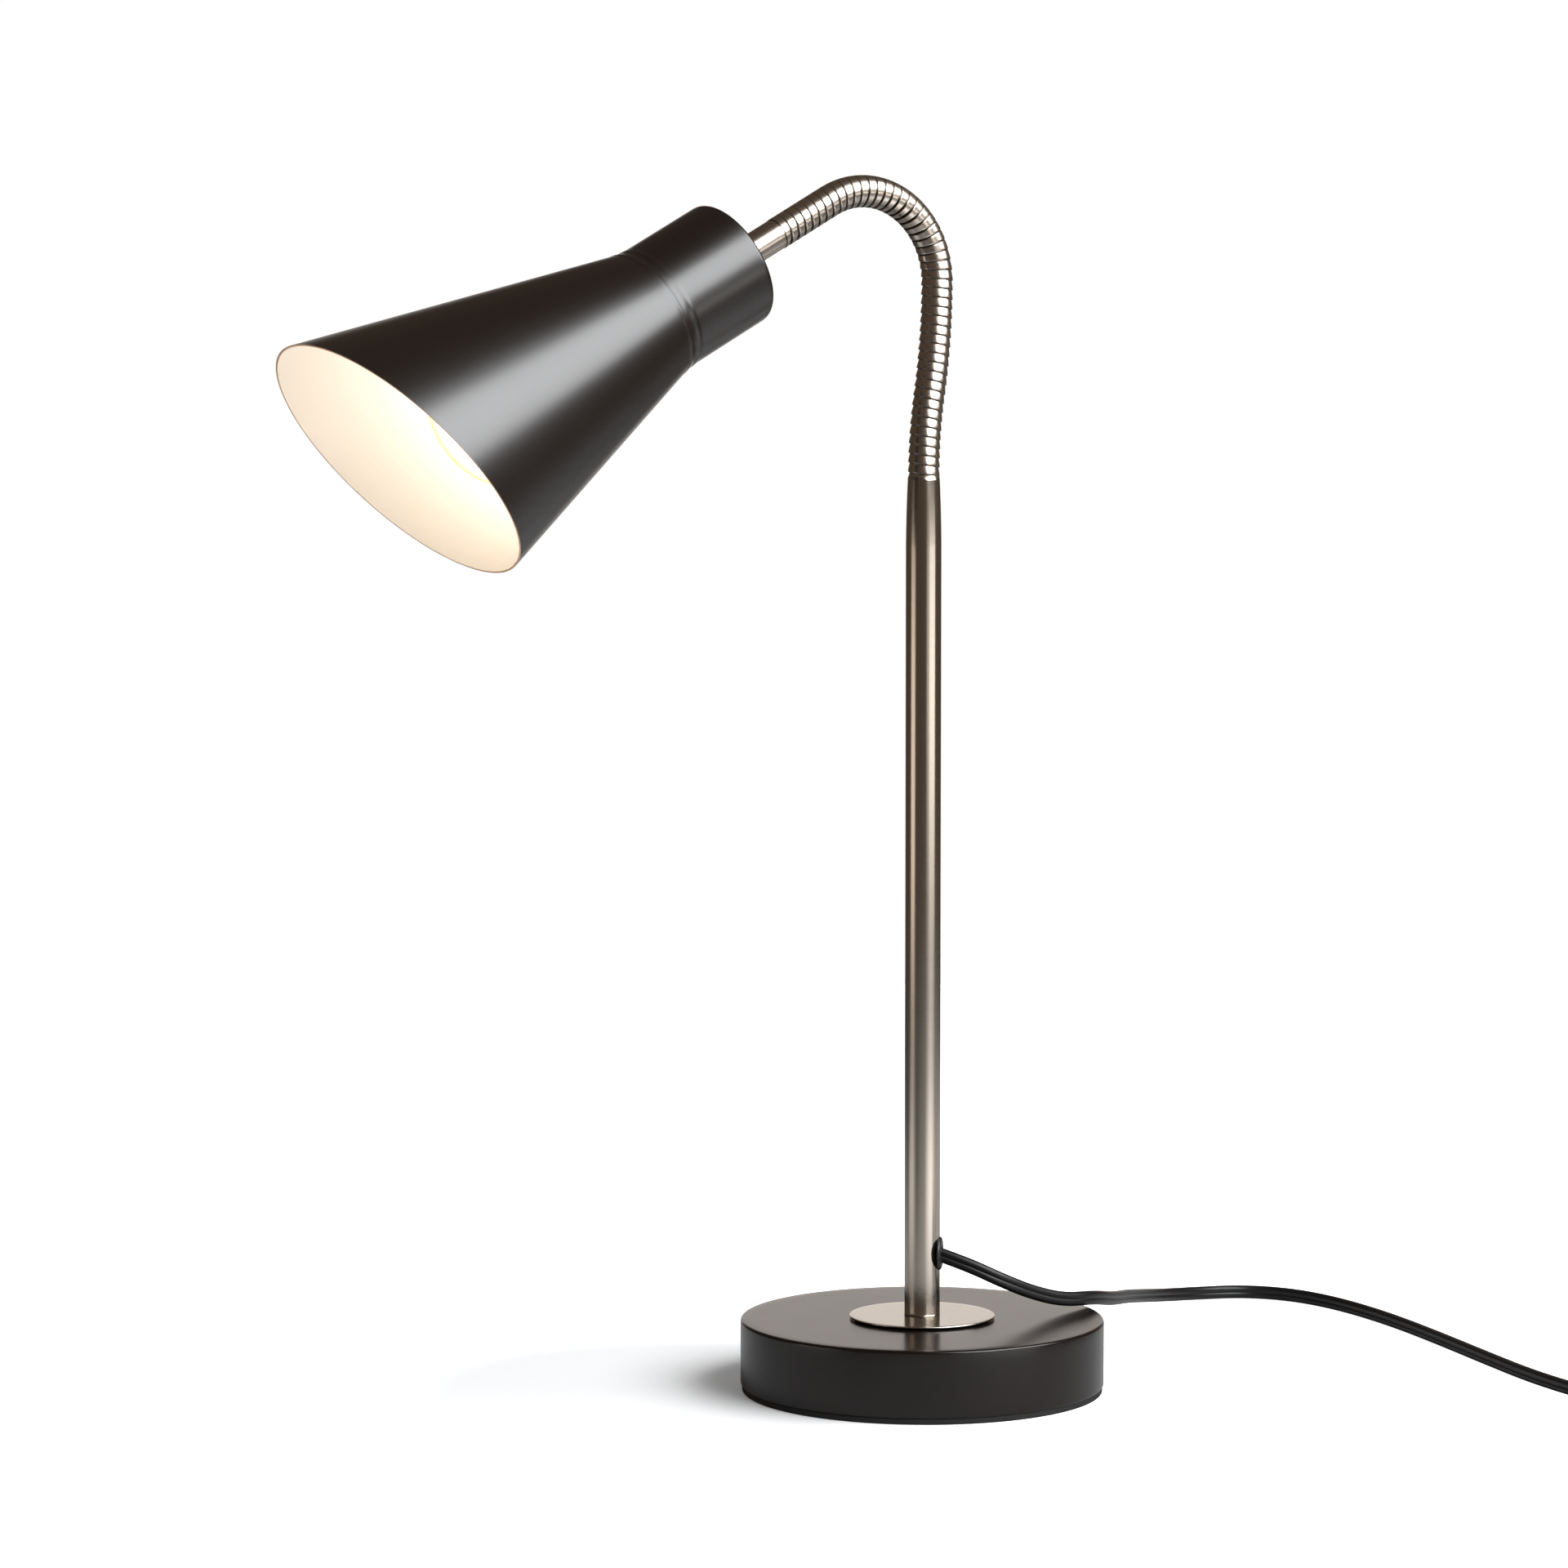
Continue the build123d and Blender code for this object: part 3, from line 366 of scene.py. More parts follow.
# Base: a pressed steel shell, powder coated black, over a cast weight, on a rubber pad that is set back
# from its edge and shows as a dark line above the table.
base_radius, base_top, pad_top = 0.065, 0.0258, 0.0022
base_bore, base_wall, base_edge = 0.0042, 0.0012, 0.0011
whole_turn = np.linspace(0, 2 * pi, 256, endpoint=False)


def turned(profile, origin=(0, 0, 0), axis=(0, 0, 1), start=(1, 0, 0), angles=whole_turn):
    """Surface of revolution: each profile point is (radius, distance along the axis), swept round the axis."""
    axis, start = unit(np.array(axis, float)), unit(np.array(start, float))
    other = np.cross(axis, start)
    spokes = np.cos(angles)[:, None] * start + np.sin(angles)[:, None] * other
    profile = np.asarray(profile, float)
    return np.asarray(origin) + profile[:, None, :1] * spokes + profile[:, None, 1:2] * axis


def rounded(points, radius, steps=6):
    """Profile with its inner corners rounded: each corner becomes a short Bezier arc of the given reach."""
    points = np.asarray(points, float)
    before, corner, after = points[:-2], points[1:-1], points[2:]
    reach_in = np.minimum(radius, 0.5 * np.linalg.norm(corner - before, axis=1))[:, None]
    reach_out = np.minimum(radius, 0.5 * np.linalg.norm(after - corner, axis=1))[:, None]
    first = corner + unit(before - corner) * reach_in
    last = corner + unit(after - corner) * reach_out
    t = np.linspace(0, 1, steps)[None, :, None]
    arcs = (1 - t) ** 2 * first[:, None] + 2 * t * (1 - t) * corner[:, None] + t**2 * last[:, None]
    return np.vstack([points[:1], arcs.reshape(-1, 2), points[-1:]])


def spread(profile, gap):
    """Profile with extra points so that none of its runs is longer than the gap."""
    run = np.linalg.norm(np.diff(profile, axis=0), axis=1)
    parts = np.repeat(np.arange(len(run)), np.maximum(1, np.ceil(run / gap)).astype(int))
    order = np.arange(len(parts)) - np.searchsorted(parts, parts)
    share = (order / np.maximum(1, np.ceil(run / gap))[parts])[:, None]
    return np.vstack([profile[parts] + share * (profile[parts + 1] - profile[parts]), profile[-1:]])


# Powder coat: a baked polyester skin with the fine orange peel of its melted grains, about 0.7 mm apart,
# so its gloss is broad and soft.
powder_coat, tree, shader = new_finish("black_powder_coat")
place = add_node(tree, "ShaderNodeTexCoord")
peel = add_node(tree, "ShaderNodeTexNoise", {"Vector": place.outputs["Object"], "Scale": 1 / 0.0007, "Detail": 2})
mottle = add_node(tree, "ShaderNodeTexNoise", {"Vector": place.outputs["Object"], "Scale": 1 / 0.02, "Detail": 3})
relief = add_node(tree, "ShaderNodeBump", {"Height": peel.outputs["Fac"], "Strength": 0.12, "Distance": 0.00004})
gloss = add_node(tree, "ShaderNodeMapRange", {"Value": mottle.outputs["Fac"], "To Min": 0.28, "To Max": 0.31})
tree.links.new(gloss.outputs["Result"], shader.inputs["Roughness"])
tree.links.new(relief.outputs["Normal"], shader.inputs["Normal"])
shader.inputs["Base Color"].default_value = srgb("#120c09")
shader.inputs["IOR"].default_value = 1.68

# The base's coat is the same black with a duller skin: it throws back less, in a tighter sheen.
base_coat = powder_coat.copy()
base_coat.name = "black_matt_base_coat"
base_coat.node_tree.nodes["Principled BSDF"].inputs["IOR"].default_value = 1.45
base_coat.node_tree.nodes["Map Range"].inputs["To Min"].default_value = 0.20
base_coat.node_tree.nodes["Map Range"].inputs["To Max"].default_value = 0.23
base_profile = spread(rounded([
    (base_bore, base_top - base_wall), (base_bore, base_top), (base_radius, base_top), (base_radius, pad_top),
    (base_radius - base_wall, pad_top), (base_radius - base_wall, base_top - base_wall),
    (base_bore, base_top - base_wall),
], base_edge), 0.004)
base_cover = surface("base_cover", turned(base_profile[::-1]), base_coat, around=True)
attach(base_cover, "stand")
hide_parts("base_shell")

# Moulded rubber: dull and near black, with a fine grain 0.6 mm apart.
moulded_rubber, tree, shader = new_finish("black_moulded_rubber")
place = add_node(tree, "ShaderNodeTexCoord")
grain = add_node(tree, "ShaderNodeTexNoise", {"Vector": place.outputs["Object"], "Scale": 1 / 0.0006, "Detail": 4})
relief = add_node(tree, "ShaderNodeBump", {"Height": grain.outputs["Fac"], "Strength": 0.4, "Distance": 0.0001})
tree.links.new(relief.outputs["Normal"], shader.inputs["Normal"])
shader.inputs["Base Color"].default_value = srgb("#0e0e0e")
shader.inputs["Roughness"].default_value = 0.8
pad_radius, pad_edge = 0.0645, 0.0005
pad_profile = spread(rounded([(0, 0), (pad_radius, 0), (pad_radius, pad_top), (0, pad_top)], pad_edge), 0.004)
base_foot = surface("base_foot_pad", turned(pad_profile), moulded_rubber, around=True)
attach(base_foot, "stand")
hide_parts("base_pad")


# Stem and its foot disc: drawn steel, brushed round and nickel plated. The disc is pressed, so its rim
# stands a hair off the base; the tube is drawn in a little where the flexible neck begins.
stem_radius, stem_foot, stem_top = 0.00635, 0.027, 0.3259
swage_length, swage_radius = 0.024, 0.0057

# Brushed nickel: a warm grey metal whose fine scratches run round the tube, about 0.3 mm apart here so
# that they show, which draws its highlights out along the tube.
brushed_nickel, tree, shader = new_finish("brushed_nickel")
place = add_node(tree, "ShaderNodeTexCoord")
strokes = add_node(tree, "ShaderNodeMapping", {
    "Vector": place.outputs["Object"], "Scale": (1 / 0.009, 1 / 0.009, 1 / 0.0003)})
scratch = add_node(tree, "ShaderNodeTexNoise", {"Vector": strokes.outputs["Vector"], "Scale": 1, "Detail": 3})
relief = add_node(tree, "ShaderNodeBump", {"Height": scratch.outputs["Fac"], "Strength": 0.2, "Distance": 0.00002})
gloss = add_node(tree, "ShaderNodeMapRange", {"Value": scratch.outputs["Fac"], "To Min": 0.17, "To Max": 0.22})
tree.links.new(gloss.outputs["Result"], shader.inputs["Roughness"])
tree.links.new(relief.outputs["Normal"], shader.inputs["Normal"])
shader.inputs["Base Color"].default_value = srgb("#bdb4a9")
shader.inputs["Metallic"].default_value = 1

disc_profile = spread(rounded([
    (0.0064, 0.0259), (0.024, 0.0259), (0.0248, 0.0263), (0.026, 0.0264), (0.026, 0.027), (0.0064, 0.027),
], 0.0003), 0.003)
foot_plate = surface("foot_plate", turned(disc_profile), bright_nickel, around=True)
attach(foot_plate, "stand")
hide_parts("foot_disc")

# Tube: straight up to the swage, where its radius falls slowly at first and then faster.
swage_walk = np.linspace(0, 1, 25)
swage_fall = 0.35 * swage_walk + 0.65 * swage_walk**2.2
drawn_radius = stem_radius - (stem_radius - swage_radius) * swage_fall
stem_profile = np.vstack([
    [(0.0054, stem_foot), (0.0062, stem_foot), (stem_radius, stem_foot + 0.0002)],
    np.column_stack([np.full(60, stem_radius), np.linspace(stem_foot + 0.001, stem_top - 0.0245, 60)]),
    np.column_stack([drawn_radius, stem_top - swage_length + 0.0238 * swage_walk]),
    [(0.0055, stem_top), (0.0047, stem_top), (0.0047, stem_top - 0.004)],
])
stem_pipe = surface("stem_pipe", turned(stem_profile), brushed_nickel, around=True)
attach(stem_pipe, "stand")
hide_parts("stem_tube")


# Cord grommet: a flat moulded button of black ABS, snapped into the side of the stem, with a hole that
# the cord leaves by.
grommet_bore, grommet_radius = 0.00275, 0.006
grommet_back, grommet_face = stem_radius - 0.0005, stem_radius + 0.0008
grommet_profile = spread(rounded([
    (grommet_bore, grommet_back), (grommet_bore, grommet_face - 0.0001), (0.0033, grommet_face),
    (0.0054, grommet_face - 0.0001), (grommet_radius, grommet_face - 0.0006), (grommet_radius, grommet_back),
    (grommet_bore, grommet_back),
], 0.0004), 0.001)
cord_button = surface("cord_button", turned(
    grommet_profile[::-1], (0, 0, outlet_height), outlet_way, (0, 0, 1)), abs_black, around=True)
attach(cord_button, "stand")
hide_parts("cord_grommet")


# Flexible neck: a hose wound from a profiled steel strip, nickel plated, whose laps run round it as one
# long screw thread. Its line is a slight lean back, a return, the crook and a straight end, each given as
# a length, or as the radius of an arc and its turn in degrees.
neck_parts = [(0.0012, 0), (0.1754, -9.32), (0.2423, 9.32), (0.031, 118.64), (0.04634, 0)]
neck_lengths = np.array([abs(radians(bend)) * size if bend else size for size, bend in neck_parts])
neck_ends = np.concatenate([[0], np.cumsum(neck_lengths)])
neck_bends = np.array([np.sign(bend) / size if bend else 0.0 for size, bend in neck_parts])
neck_total = neck_ends[-1]
ferrule_length = 0.0214
segment_count, laps_per_segment, steps_per_lap = 12, 4, 32
segment_length = (neck_total - ferrule_length) / segment_count
lap_pitch = segment_length / laps_per_segment


def neck_frame(distance):
    """Points and directions of the neck: its heading turns at each arc's own rate, and the points are the
    sum of the headings over fine steps. Returns points, headings and the normals in the lamp's plane."""
    fine = np.linspace(0, neck_total, 4001)
    rate = neck_bends[np.clip(np.searchsorted(neck_ends, fine, side="right") - 1, 0, len(neck_bends) - 1)]
    middle_rate = (rate[1:] + rate[:-1]) / 2
    heading = np.concatenate([[0], np.cumsum(middle_rate * np.diff(fine))])
    half = (heading[1:] + heading[:-1]) / 2
    x = np.concatenate([[0], np.cumsum(-np.sin(half) * np.diff(fine))])
    z = stem_top + np.concatenate([[0], np.cumsum(np.cos(half) * np.diff(fine))])
    angle = np.interp(distance, fine, heading)
    points = np.stack([np.interp(distance, fine, x), 0 * angle, np.interp(distance, fine, z)], axis=-1)
    headings = np.stack([-np.sin(angle), 0 * angle, np.cos(angle)], axis=-1)
    normals = np.stack([np.cos(angle), 0 * angle, np.sin(angle)], axis=-1)
    return points, headings, normals


# Wound nickelled strip: brighter than the stem, painted dark brown in the grooves between its turns and inside the
# crook, as painted shade of the gaps between the turns.
hose_nickel, tree, shader = new_finish("wound_nickelled_strip")
place = add_node(tree, "ShaderNodeTexCoord")
haze = add_node(tree, "ShaderNodeTexNoise", {"Vector": place.outputs["Object"], "Scale": 1 / 0.004, "Detail": 3})
gloss = add_node(tree, "ShaderNodeMapRange", {"Value": haze.outputs["Fac"], "To Min": 0.23, "To Max": 0.26})
# Painted shade: the groove layer turns the strip dark brown in its narrow grooves and inside the crook.
groove_shade_input = add_node(tree, "ShaderNodeAttribute", attribute_name="groove")
groove_shade = add_node(tree, "ShaderNodeMapRange", {"Value": groove_shade_input.outputs["Fac"], "From Min": 0.15, "From Max": 0.7})
tone = add_node(tree, "ShaderNodeMix", {
    0: groove_shade.outputs["Result"], 6: srgb("#c4baaf"), 7: srgb("#30271f")}, data_type="RGBA")
tree.links.new(gloss.outputs["Result"], shader.inputs["Roughness"])
tree.links.new(tone.outputs[2], shader.inputs["Base Color"])
shader.inputs["Metallic"].default_value = 1

crest, groove_inside, groove_outside = 0.00565, 0.00065, 0.0005
crook_start, crook_run, fade_run = 0.07, 0.03, 0.0008
lap_shift, lip_start = 0.07, 0.86
hose_turn = np.linspace(0, 2 * pi, 72, endpoint=False)


def hose_grid(start, end):
    """Stretch of the hose and its painted groove shade from 0 to 1: the crest's radius less the turns of the strip,
    whose phase runs along the neck and once round it for each pitch.
    the next one's lip; in the crook the laps close to grooves, deep and round inside the bend and pulled
    shallow outside it."""
    walk = np.linspace(start, end, int(round((end - start) / lap_pitch * steps_per_lap)) + 1)[:, None]
    points, _, normals = neck_frame(walk[:, 0])
    phase = (walk / lap_pitch + hose_turn / (2 * pi)) % 1
    fade = np.clip(np.minimum(walk, segment_count * segment_length - walk) / fade_run, 0, 1)
    crook = np.clip((walk - crook_start) / crook_run, 0, 1)
    inside = (1 - np.cos(hose_turn)) / 2
    deepest = fade * (groove_inside * inside + groove_outside * (1 - 0.6 * crook) * (1 - inside))
    bulge, beside = inside**4, np.abs(2 * phase - 1)
    cleft = np.exp(-(((1 - beside) / (0.2 - 0.08 * crook + 0.16 * crook * inside**2)) ** 2))
    up = (phase - lap_shift) % 1
    lip = np.clip((up - lip_start) / 0.14, 0, 1)
    taper = up**1.3 * (1 - lip**2 * (3 - 2 * lip))
    groove = (0.03 + 0.5 * bulge) * beside**6 + (0.97 - 0.5 * bulge) * cleft
    reach = crest - deepest * (taper + crook * (groove - taper))
    rings = (
        points[:, None]
        + (reach * np.cos(hose_turn))[..., None] * normals[:, None]
        + (reach * np.sin(hose_turn))[..., None] * np.array((0, 1, 0))
    )
    # Painted shade: darkest in the narrow clefts between the turns and on the inside of the crook.
    groove_shade_share = cleft * (0.68 - crook * (0.26 - 0.58 * inside**2)) + 0.5 * crook * inside**3
    return rings, fade * groove_shade_share


# Each stretch but the two end ones is centred on a joint; the two end ones ride the stand and the head.
bodies = ["stand"] + [f"link_{k:02d}" for k in range(2, segment_count)] + ["head"]
for k in range(segment_count + 1):
    start, end = max(0, (k - 0.5) * segment_length), min(segment_count, k + 0.5) * segment_length
    rings, painted_shading = hose_grid(start, end)
    stretch = surface(f"hose_{k + 1:02d}", rings, hose_nickel, around=True)
    # The layer carries the painted groove shade to the strip's colour.
    groove_shade_layer = stretch.data.attributes.new("groove", "FLOAT", "POINT")
    groove_shade_layer.data.foreach_set("value", painted_shading.ravel().astype(np.float32))
    if k in (0, segment_count):
        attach(stretch, bodies[0] if k == 0 else bodies[-1])
    else:
        pair, ends = bodies[k - 1:k + 1], neck_frame(np.array([k - 0.45, k + 0.45]) * segment_length)[0]
        # At joint 5 the pair of bodies and their ends are listed the other way round, from the upper body: taken from
        # below, its small turn loses its axis in one pose.
        if k == 5:
            pair, ends = pair[::-1], ends[::-1]
        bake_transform(stretch)
    if k > 0:
        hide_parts(f"neck_segment_{k:02d}")


# Ferrule: a turned steel sleeve, nickel plated as the hose is, with a spigot in the end of the neck. It
# carries the shade's cap.
ferrule_radius = 0.0055
cap_point, head_way, head_up = (row[0] for row in neck_frame(np.array([neck_total])))
ferrule_profile = spread(rounded([
    (0.0035, -ferrule_length), (ferrule_radius, -ferrule_length), (ferrule_radius, -0.0001), (0.0042, -0.0001),
], 0.0004), 0.002)
neck_sleeve = surface("neck_sleeve", turned(ferrule_profile, cap_point, head_way, head_up), hose_nickel, around=True)
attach(neck_sleeve, "head")
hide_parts("neck_ferrule")


# Shade: spun steel, powder coated black outside and white inside. A short cap opens between two rolled
# beads into a cone, and the mouth is cut off at a slant, so that it is longer above than below.
shade_neck, crease, flare = 0.0225, 0.03624, radians(14.18)
mouth, slant, shade_wall = 0.146, radians(15.36), 0.0007
crease_softness, bead_places, bead_width, bead_height = 0.0013, (-0.0014, 0.0027), 0.00095, 0.00017
cap_bore, cap_edge = 0.0041, 0.002
shade_turn = np.linspace(0, 2 * pi, 320, endpoint=False)


def shade_rim(radius_at_crease):
    """Station of the slanted mouth round the shade: where the cone of that crease radius meets its plane."""
    tilt = np.cos(shade_turn) * sin(slant)
    radius_at_cap = radius_at_crease - crease * tan(flare)
    return (mouth * cos(slant) + radius_at_cap * tilt) / (cos(slant) - tan(flare) * tilt)


def shade_grid(stations, radii):
    """Rings of the shade: stations along the head's axis and radii, both given for each turn angle."""
    spokes = np.cos(shade_turn)[:, None] * head_up + np.sin(shade_turn)[:, None] * np.array((0, 1, 0))
    return cap_point + stations[..., None] * head_way + radii[..., None] * spokes


def shade_radius(station, neck):
    """Radius of the shade along its axis: the cap's radius, then a slope that sets in softly over 3 mm at the
    crease, w * log(1 + exp(x / w)), and two low rolled beads, one before it and one after."""
    past = station - crease
    slope = tan(flare) * crease_softness * np.logaddexp(0, past / crease_softness)
    beads = sum(np.exp(-(((past - bead_place) / bead_width) ** 2)) for bead_place in bead_places)
    return neck + slope + bead_height * beads


cap_profile = rounded([(cap_bore, 0), (shade_neck, 0), (shade_neck, 0.004)], cap_edge, 10)
neck_stations = np.concatenate([
    np.linspace(0.007, crease - 0.006, 8), np.linspace(crease - 0.0055, crease + 0.006, 60)])
neck_radii = shade_radius(neck_stations, shade_neck)
cone_share = np.linspace(0.08, 1, 50)[:, None]
outer_rim = shade_rim(shade_neck)
cone_stations = crease + cone_share * (outer_rim - crease)
cone_radii = shade_radius(cone_stations, shade_neck)
full = np.ones_like(shade_turn)
outside_stations = np.vstack([cap_profile[:, 1:] * full, neck_stations[:, None] * full, cone_stations])
outside_radii = np.vstack([cap_profile[:, :1] * full, neck_radii[:, None] * full, cone_radii])
shade_outside = surface("shade_outside", shade_grid(outside_stations, outside_radii), powder_coat, around=True)
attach(shade_outside, "head")
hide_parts("shade")

# White enamel: a glossy stoved lacquer that throws the bulb's light back. Its creamier colour towards the mouth is
# painted light, a painted warm falloff of the bulb's light.
white_enamel, tree, shader = new_finish("white_stoved_enamel")
place = add_node(tree, "ShaderNodeTexCoord")
from_cap = add_node(tree, "ShaderNodeVectorMath", {
    0: place.outputs["Object"], 1: cap_point}, operation="SUBTRACT")
station = add_node(tree, "ShaderNodeVectorMath", {
    0: from_cap.outputs["Vector"], 1: head_way}, operation="DOT_PRODUCT")
# Painted light: the share of the creamier tone rises from deep in the shade towards the mouth.
painted_shading = add_node(tree, "ShaderNodeMapRange", {"Value": station.outputs["Value"], "From Min": 0.08, "From Max": 0.15})
tone = add_node(tree, "ShaderNodeMix", {
    0: painted_shading.outputs["Result"], 6: srgb("#fdfbf8"), 7: srgb("#faeede")}, data_type="RGBA")
tree.links.new(tone.outputs[2], shader.inputs["Base Color"])
peel = add_node(tree, "ShaderNodeTexNoise", {"Vector": place.outputs["Object"], "Scale": 1 / 0.0015, "Detail": 2})
relief = add_node(tree, "ShaderNodeBump", {"Height": peel.outputs["Fac"], "Strength": 0.08, "Distance": 0.00005})
tree.links.new(relief.outputs["Normal"], shader.inputs["Normal"])
shader.inputs["Roughness"].default_value = 0.35
inner_neck = shade_neck - shade_wall
inner_rim = shade_rim(inner_neck)
inner_stations = crease + np.linspace(1, 0, 50)[:, None] * (inner_rim - crease)
inner_radii = inner_neck + (inner_stations - crease) * tan(flare)
inner_cap = np.array([
    (inner_neck, 0.02), (inner_neck, 0.003), (inner_neck - 0.001, 0.0012), (inner_neck - 0.003, shade_wall),
    (cap_bore, shade_wall),
])
inside_stations = np.vstack([inner_stations, inner_cap[:, 1:] * full])
inside_radii = np.vstack([inner_radii, inner_cap[:, :1] * full])
shade_inside = surface("shade_inside", shade_grid(inside_stations, inside_radii), white_enamel, around=True)
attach(shade_inside, "head")

# Cut edge of the shade: browner and paler than the coat beside it, a painted glow of the bulb's warm light along the
# edge, with a random mottle.
edge_painted_glow, tree, shader = new_finish("cut_edge_painted_glow")
place = add_node(tree, "ShaderNodeTexCoord")
glow_mottle = add_node(tree, "ShaderNodeTexNoise", {"Vector": place.outputs["Object"], "Scale": 1 / 0.003, "Detail": 3})
tone = add_node(tree, "ShaderNodeMix", {
    0: glow_mottle.outputs["Fac"], 6: srgb("#b98f6c"), 7: srgb("#d8b595")}, data_type="RGBA")
tree.links.new(tone.outputs[2], shader.inputs["Base Color"])
shader.inputs["Roughness"].default_value = 0.5
edge_share = np.linspace(0, 1, 5)[:, None]
edge_swell = 0.00015 * np.sin(pi * edge_share)
edge_stations = outer_rim + edge_share * (inner_rim - outer_rim) + edge_swell
edge_radii = cone_radii[-1] + edge_share * (inner_radii[0] - cone_radii[-1])
shade_edge = surface("shade_edge", shade_grid(edge_stations, edge_radii), edge_painted_glow, around=True)
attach(shade_edge, "head")


# Lamp holder and bulb: a pressed thermoset cup on the hollow rod through the shade's cap, with a brass
# screw sleeve in it, and a blown opal bulb that is lit and screwed into the sleeve.
holder_bore, holder_radius, holder_rim = 0.01585, 0.0195, 0.0534

# Pressed thermoset: hard and brown black, half glossy with a faint mottle.
thermoset, tree, shader = new_finish("black_thermoset")
place = add_node(tree, "ShaderNodeTexCoord")
mottle = add_node(tree, "ShaderNodeTexNoise", {"Vector": place.outputs["Object"], "Scale": 1 / 0.002, "Detail": 3})
gloss = add_node(tree, "ShaderNodeMapRange", {"Value": mottle.outputs["Fac"], "To Min": 0.3, "To Max": 0.4})
tree.links.new(gloss.outputs["Result"], shader.inputs["Roughness"])
shader.inputs["Base Color"].default_value = srgb("#1d1b1a")

# Stamped brass: yellow and a little hazy.
brass, tree, shader = new_finish("stamped_brass")
place = add_node(tree, "ShaderNodeTexCoord")
haze = add_node(tree, "ShaderNodeTexNoise", {"Vector": place.outputs["Object"], "Scale": 1 / 0.004, "Detail": 3})
gloss = add_node(tree, "ShaderNodeMapRange", {"Value": haze.outputs["Fac"], "To Min": 0.25, "To Max": 0.4})
tree.links.new(gloss.outputs["Result"], shader.inputs["Roughness"])
shader.inputs["Base Color"].default_value = srgb("#c9a45a")
shader.inputs["Metallic"].default_value = 1

# Lit opal glass: creamy white and brighter towards its crown, and amber at the edge, where the light comes
# through more of the glass.
opal_glass, tree, shader = new_finish("lit_opal_glass")
place = add_node(tree, "ShaderNodeTexCoord")
from_cap = add_node(tree, "ShaderNodeVectorMath", {
    0: place.outputs["Object"], 1: cap_point}, operation="SUBTRACT")
station = add_node(tree, "ShaderNodeVectorMath", {
    0: from_cap.outputs["Vector"], 1: head_way}, operation="DOT_PRODUCT")
glow = add_node(tree, "ShaderNodeMapRange", {
    "Value": station.outputs["Value"], "From Min": 0.08, "From Max": 0.112, "To Min": 1.5, "To Max": 1.68})
edge = add_node(tree, "ShaderNodeLayerWeight", {"Blend": 0.5})
margin = add_node(tree, "ShaderNodeMapRange", {"Value": edge.outputs["Facing"], "From Min": 0.5, "From Max": 0.85})
tone = add_node(tree, "ShaderNodeMix", {
    0: margin.outputs["Result"], 6: srgb("#fffaf2"), 7: srgb("#b98a48")}, data_type="RGBA")
body = add_node(tree, "ShaderNodeMix", {
    0: margin.outputs["Result"], 6: srgb("#f6efe2"), 7: srgb("#c9a05c")}, data_type="RGBA")
tree.links.new(body.outputs[2], shader.inputs["Base Color"])
tree.links.new(glow.outputs["Result"], shader.inputs["Emission Strength"])
tree.links.new(tone.outputs[2], shader.inputs["Emission Color"])
shader.inputs["Roughness"].default_value = 0.15

# Globe: a cubic curve through each pair of knots with the slopes of their neighbours, square to the axis at
# the crown, turned round the head's axis.
bulb_knots = np.array([
    (0.0145, 0.0494), (0.01653, 0.0572), (0.02225, 0.06968), (0.02721, 0.08138), (0.02979, 0.09152),
    (0.02979, 0.10088), (0.02661, 0.11102), (0.0204, 0.1196), (0.011, 0.12506), (0, 0.1274),
])
bulb_walk = np.concatenate([[0], np.cumsum(np.linalg.norm(np.diff(bulb_knots, axis=0), axis=1))])
fine = np.linspace(0, bulb_walk[-1], 60)
slopes = np.gradient(bulb_knots, bulb_walk, axis=0)
slopes[-1] = (-1, 0)
span = np.clip(np.searchsorted(bulb_walk, fine, side="right") - 1, 0, len(bulb_walk) - 2)
step = (bulb_walk[span + 1] - bulb_walk[span])[:, None]
t = ((fine - bulb_walk[span]) / step[:, 0])[:, None]
bulb_profile = (
    (2 * t**3 - 3 * t**2 + 1) * bulb_knots[span] + (t**3 - 2 * t**2 + t) * step * slopes[span]
    + (-2 * t**3 + 3 * t**2) * bulb_knots[span + 1] + (t**3 - t**2) * step * slopes[span + 1]
)
bulb_globe = surface("bulb_globe", turned(bulb_profile, cap_point, head_way, head_up), opal_glass, around=True)
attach(bulb_globe, "head")
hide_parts("bulb_glass")

cup_profile = spread(rounded([
    (cap_bore, 0.0054), (0.0135, 0.0054), (holder_radius, 0.0114), (holder_radius, holder_rim),
    (holder_bore, holder_rim), (holder_bore, 0.03),
], 0.0012), 0.004)
holder_cup = surface("holder_cup", turned(cup_profile, cap_point, head_way, head_up), thermoset, around=True)
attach(holder_cup, "head")
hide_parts("holder_base")


# Hidden fittings keep their CAD shape: zinc plated rods, nuts, washers and screws, the cast weight, the
# lead in the stem and the brass contacts.

# Bright zinc plate: a pale, cool metal with a fine spangle, 2 mm apart.
zinc, tree, shader = new_finish("bright_zinc_plate")
place = add_node(tree, "ShaderNodeTexCoord")
spangle = add_node(tree, "ShaderNodeTexNoise", {"Vector": place.outputs["Object"], "Scale": 1 / 0.002, "Detail": 4})
gloss = add_node(tree, "ShaderNodeMapRange", {"Value": spangle.outputs["Fac"], "To Min": 0.3, "To Max": 0.45})
tree.links.new(gloss.outputs["Result"], shader.inputs["Roughness"])
shader.inputs["Base Color"].default_value = srgb("#b9bcbd")
shader.inputs["Metallic"].default_value = 1

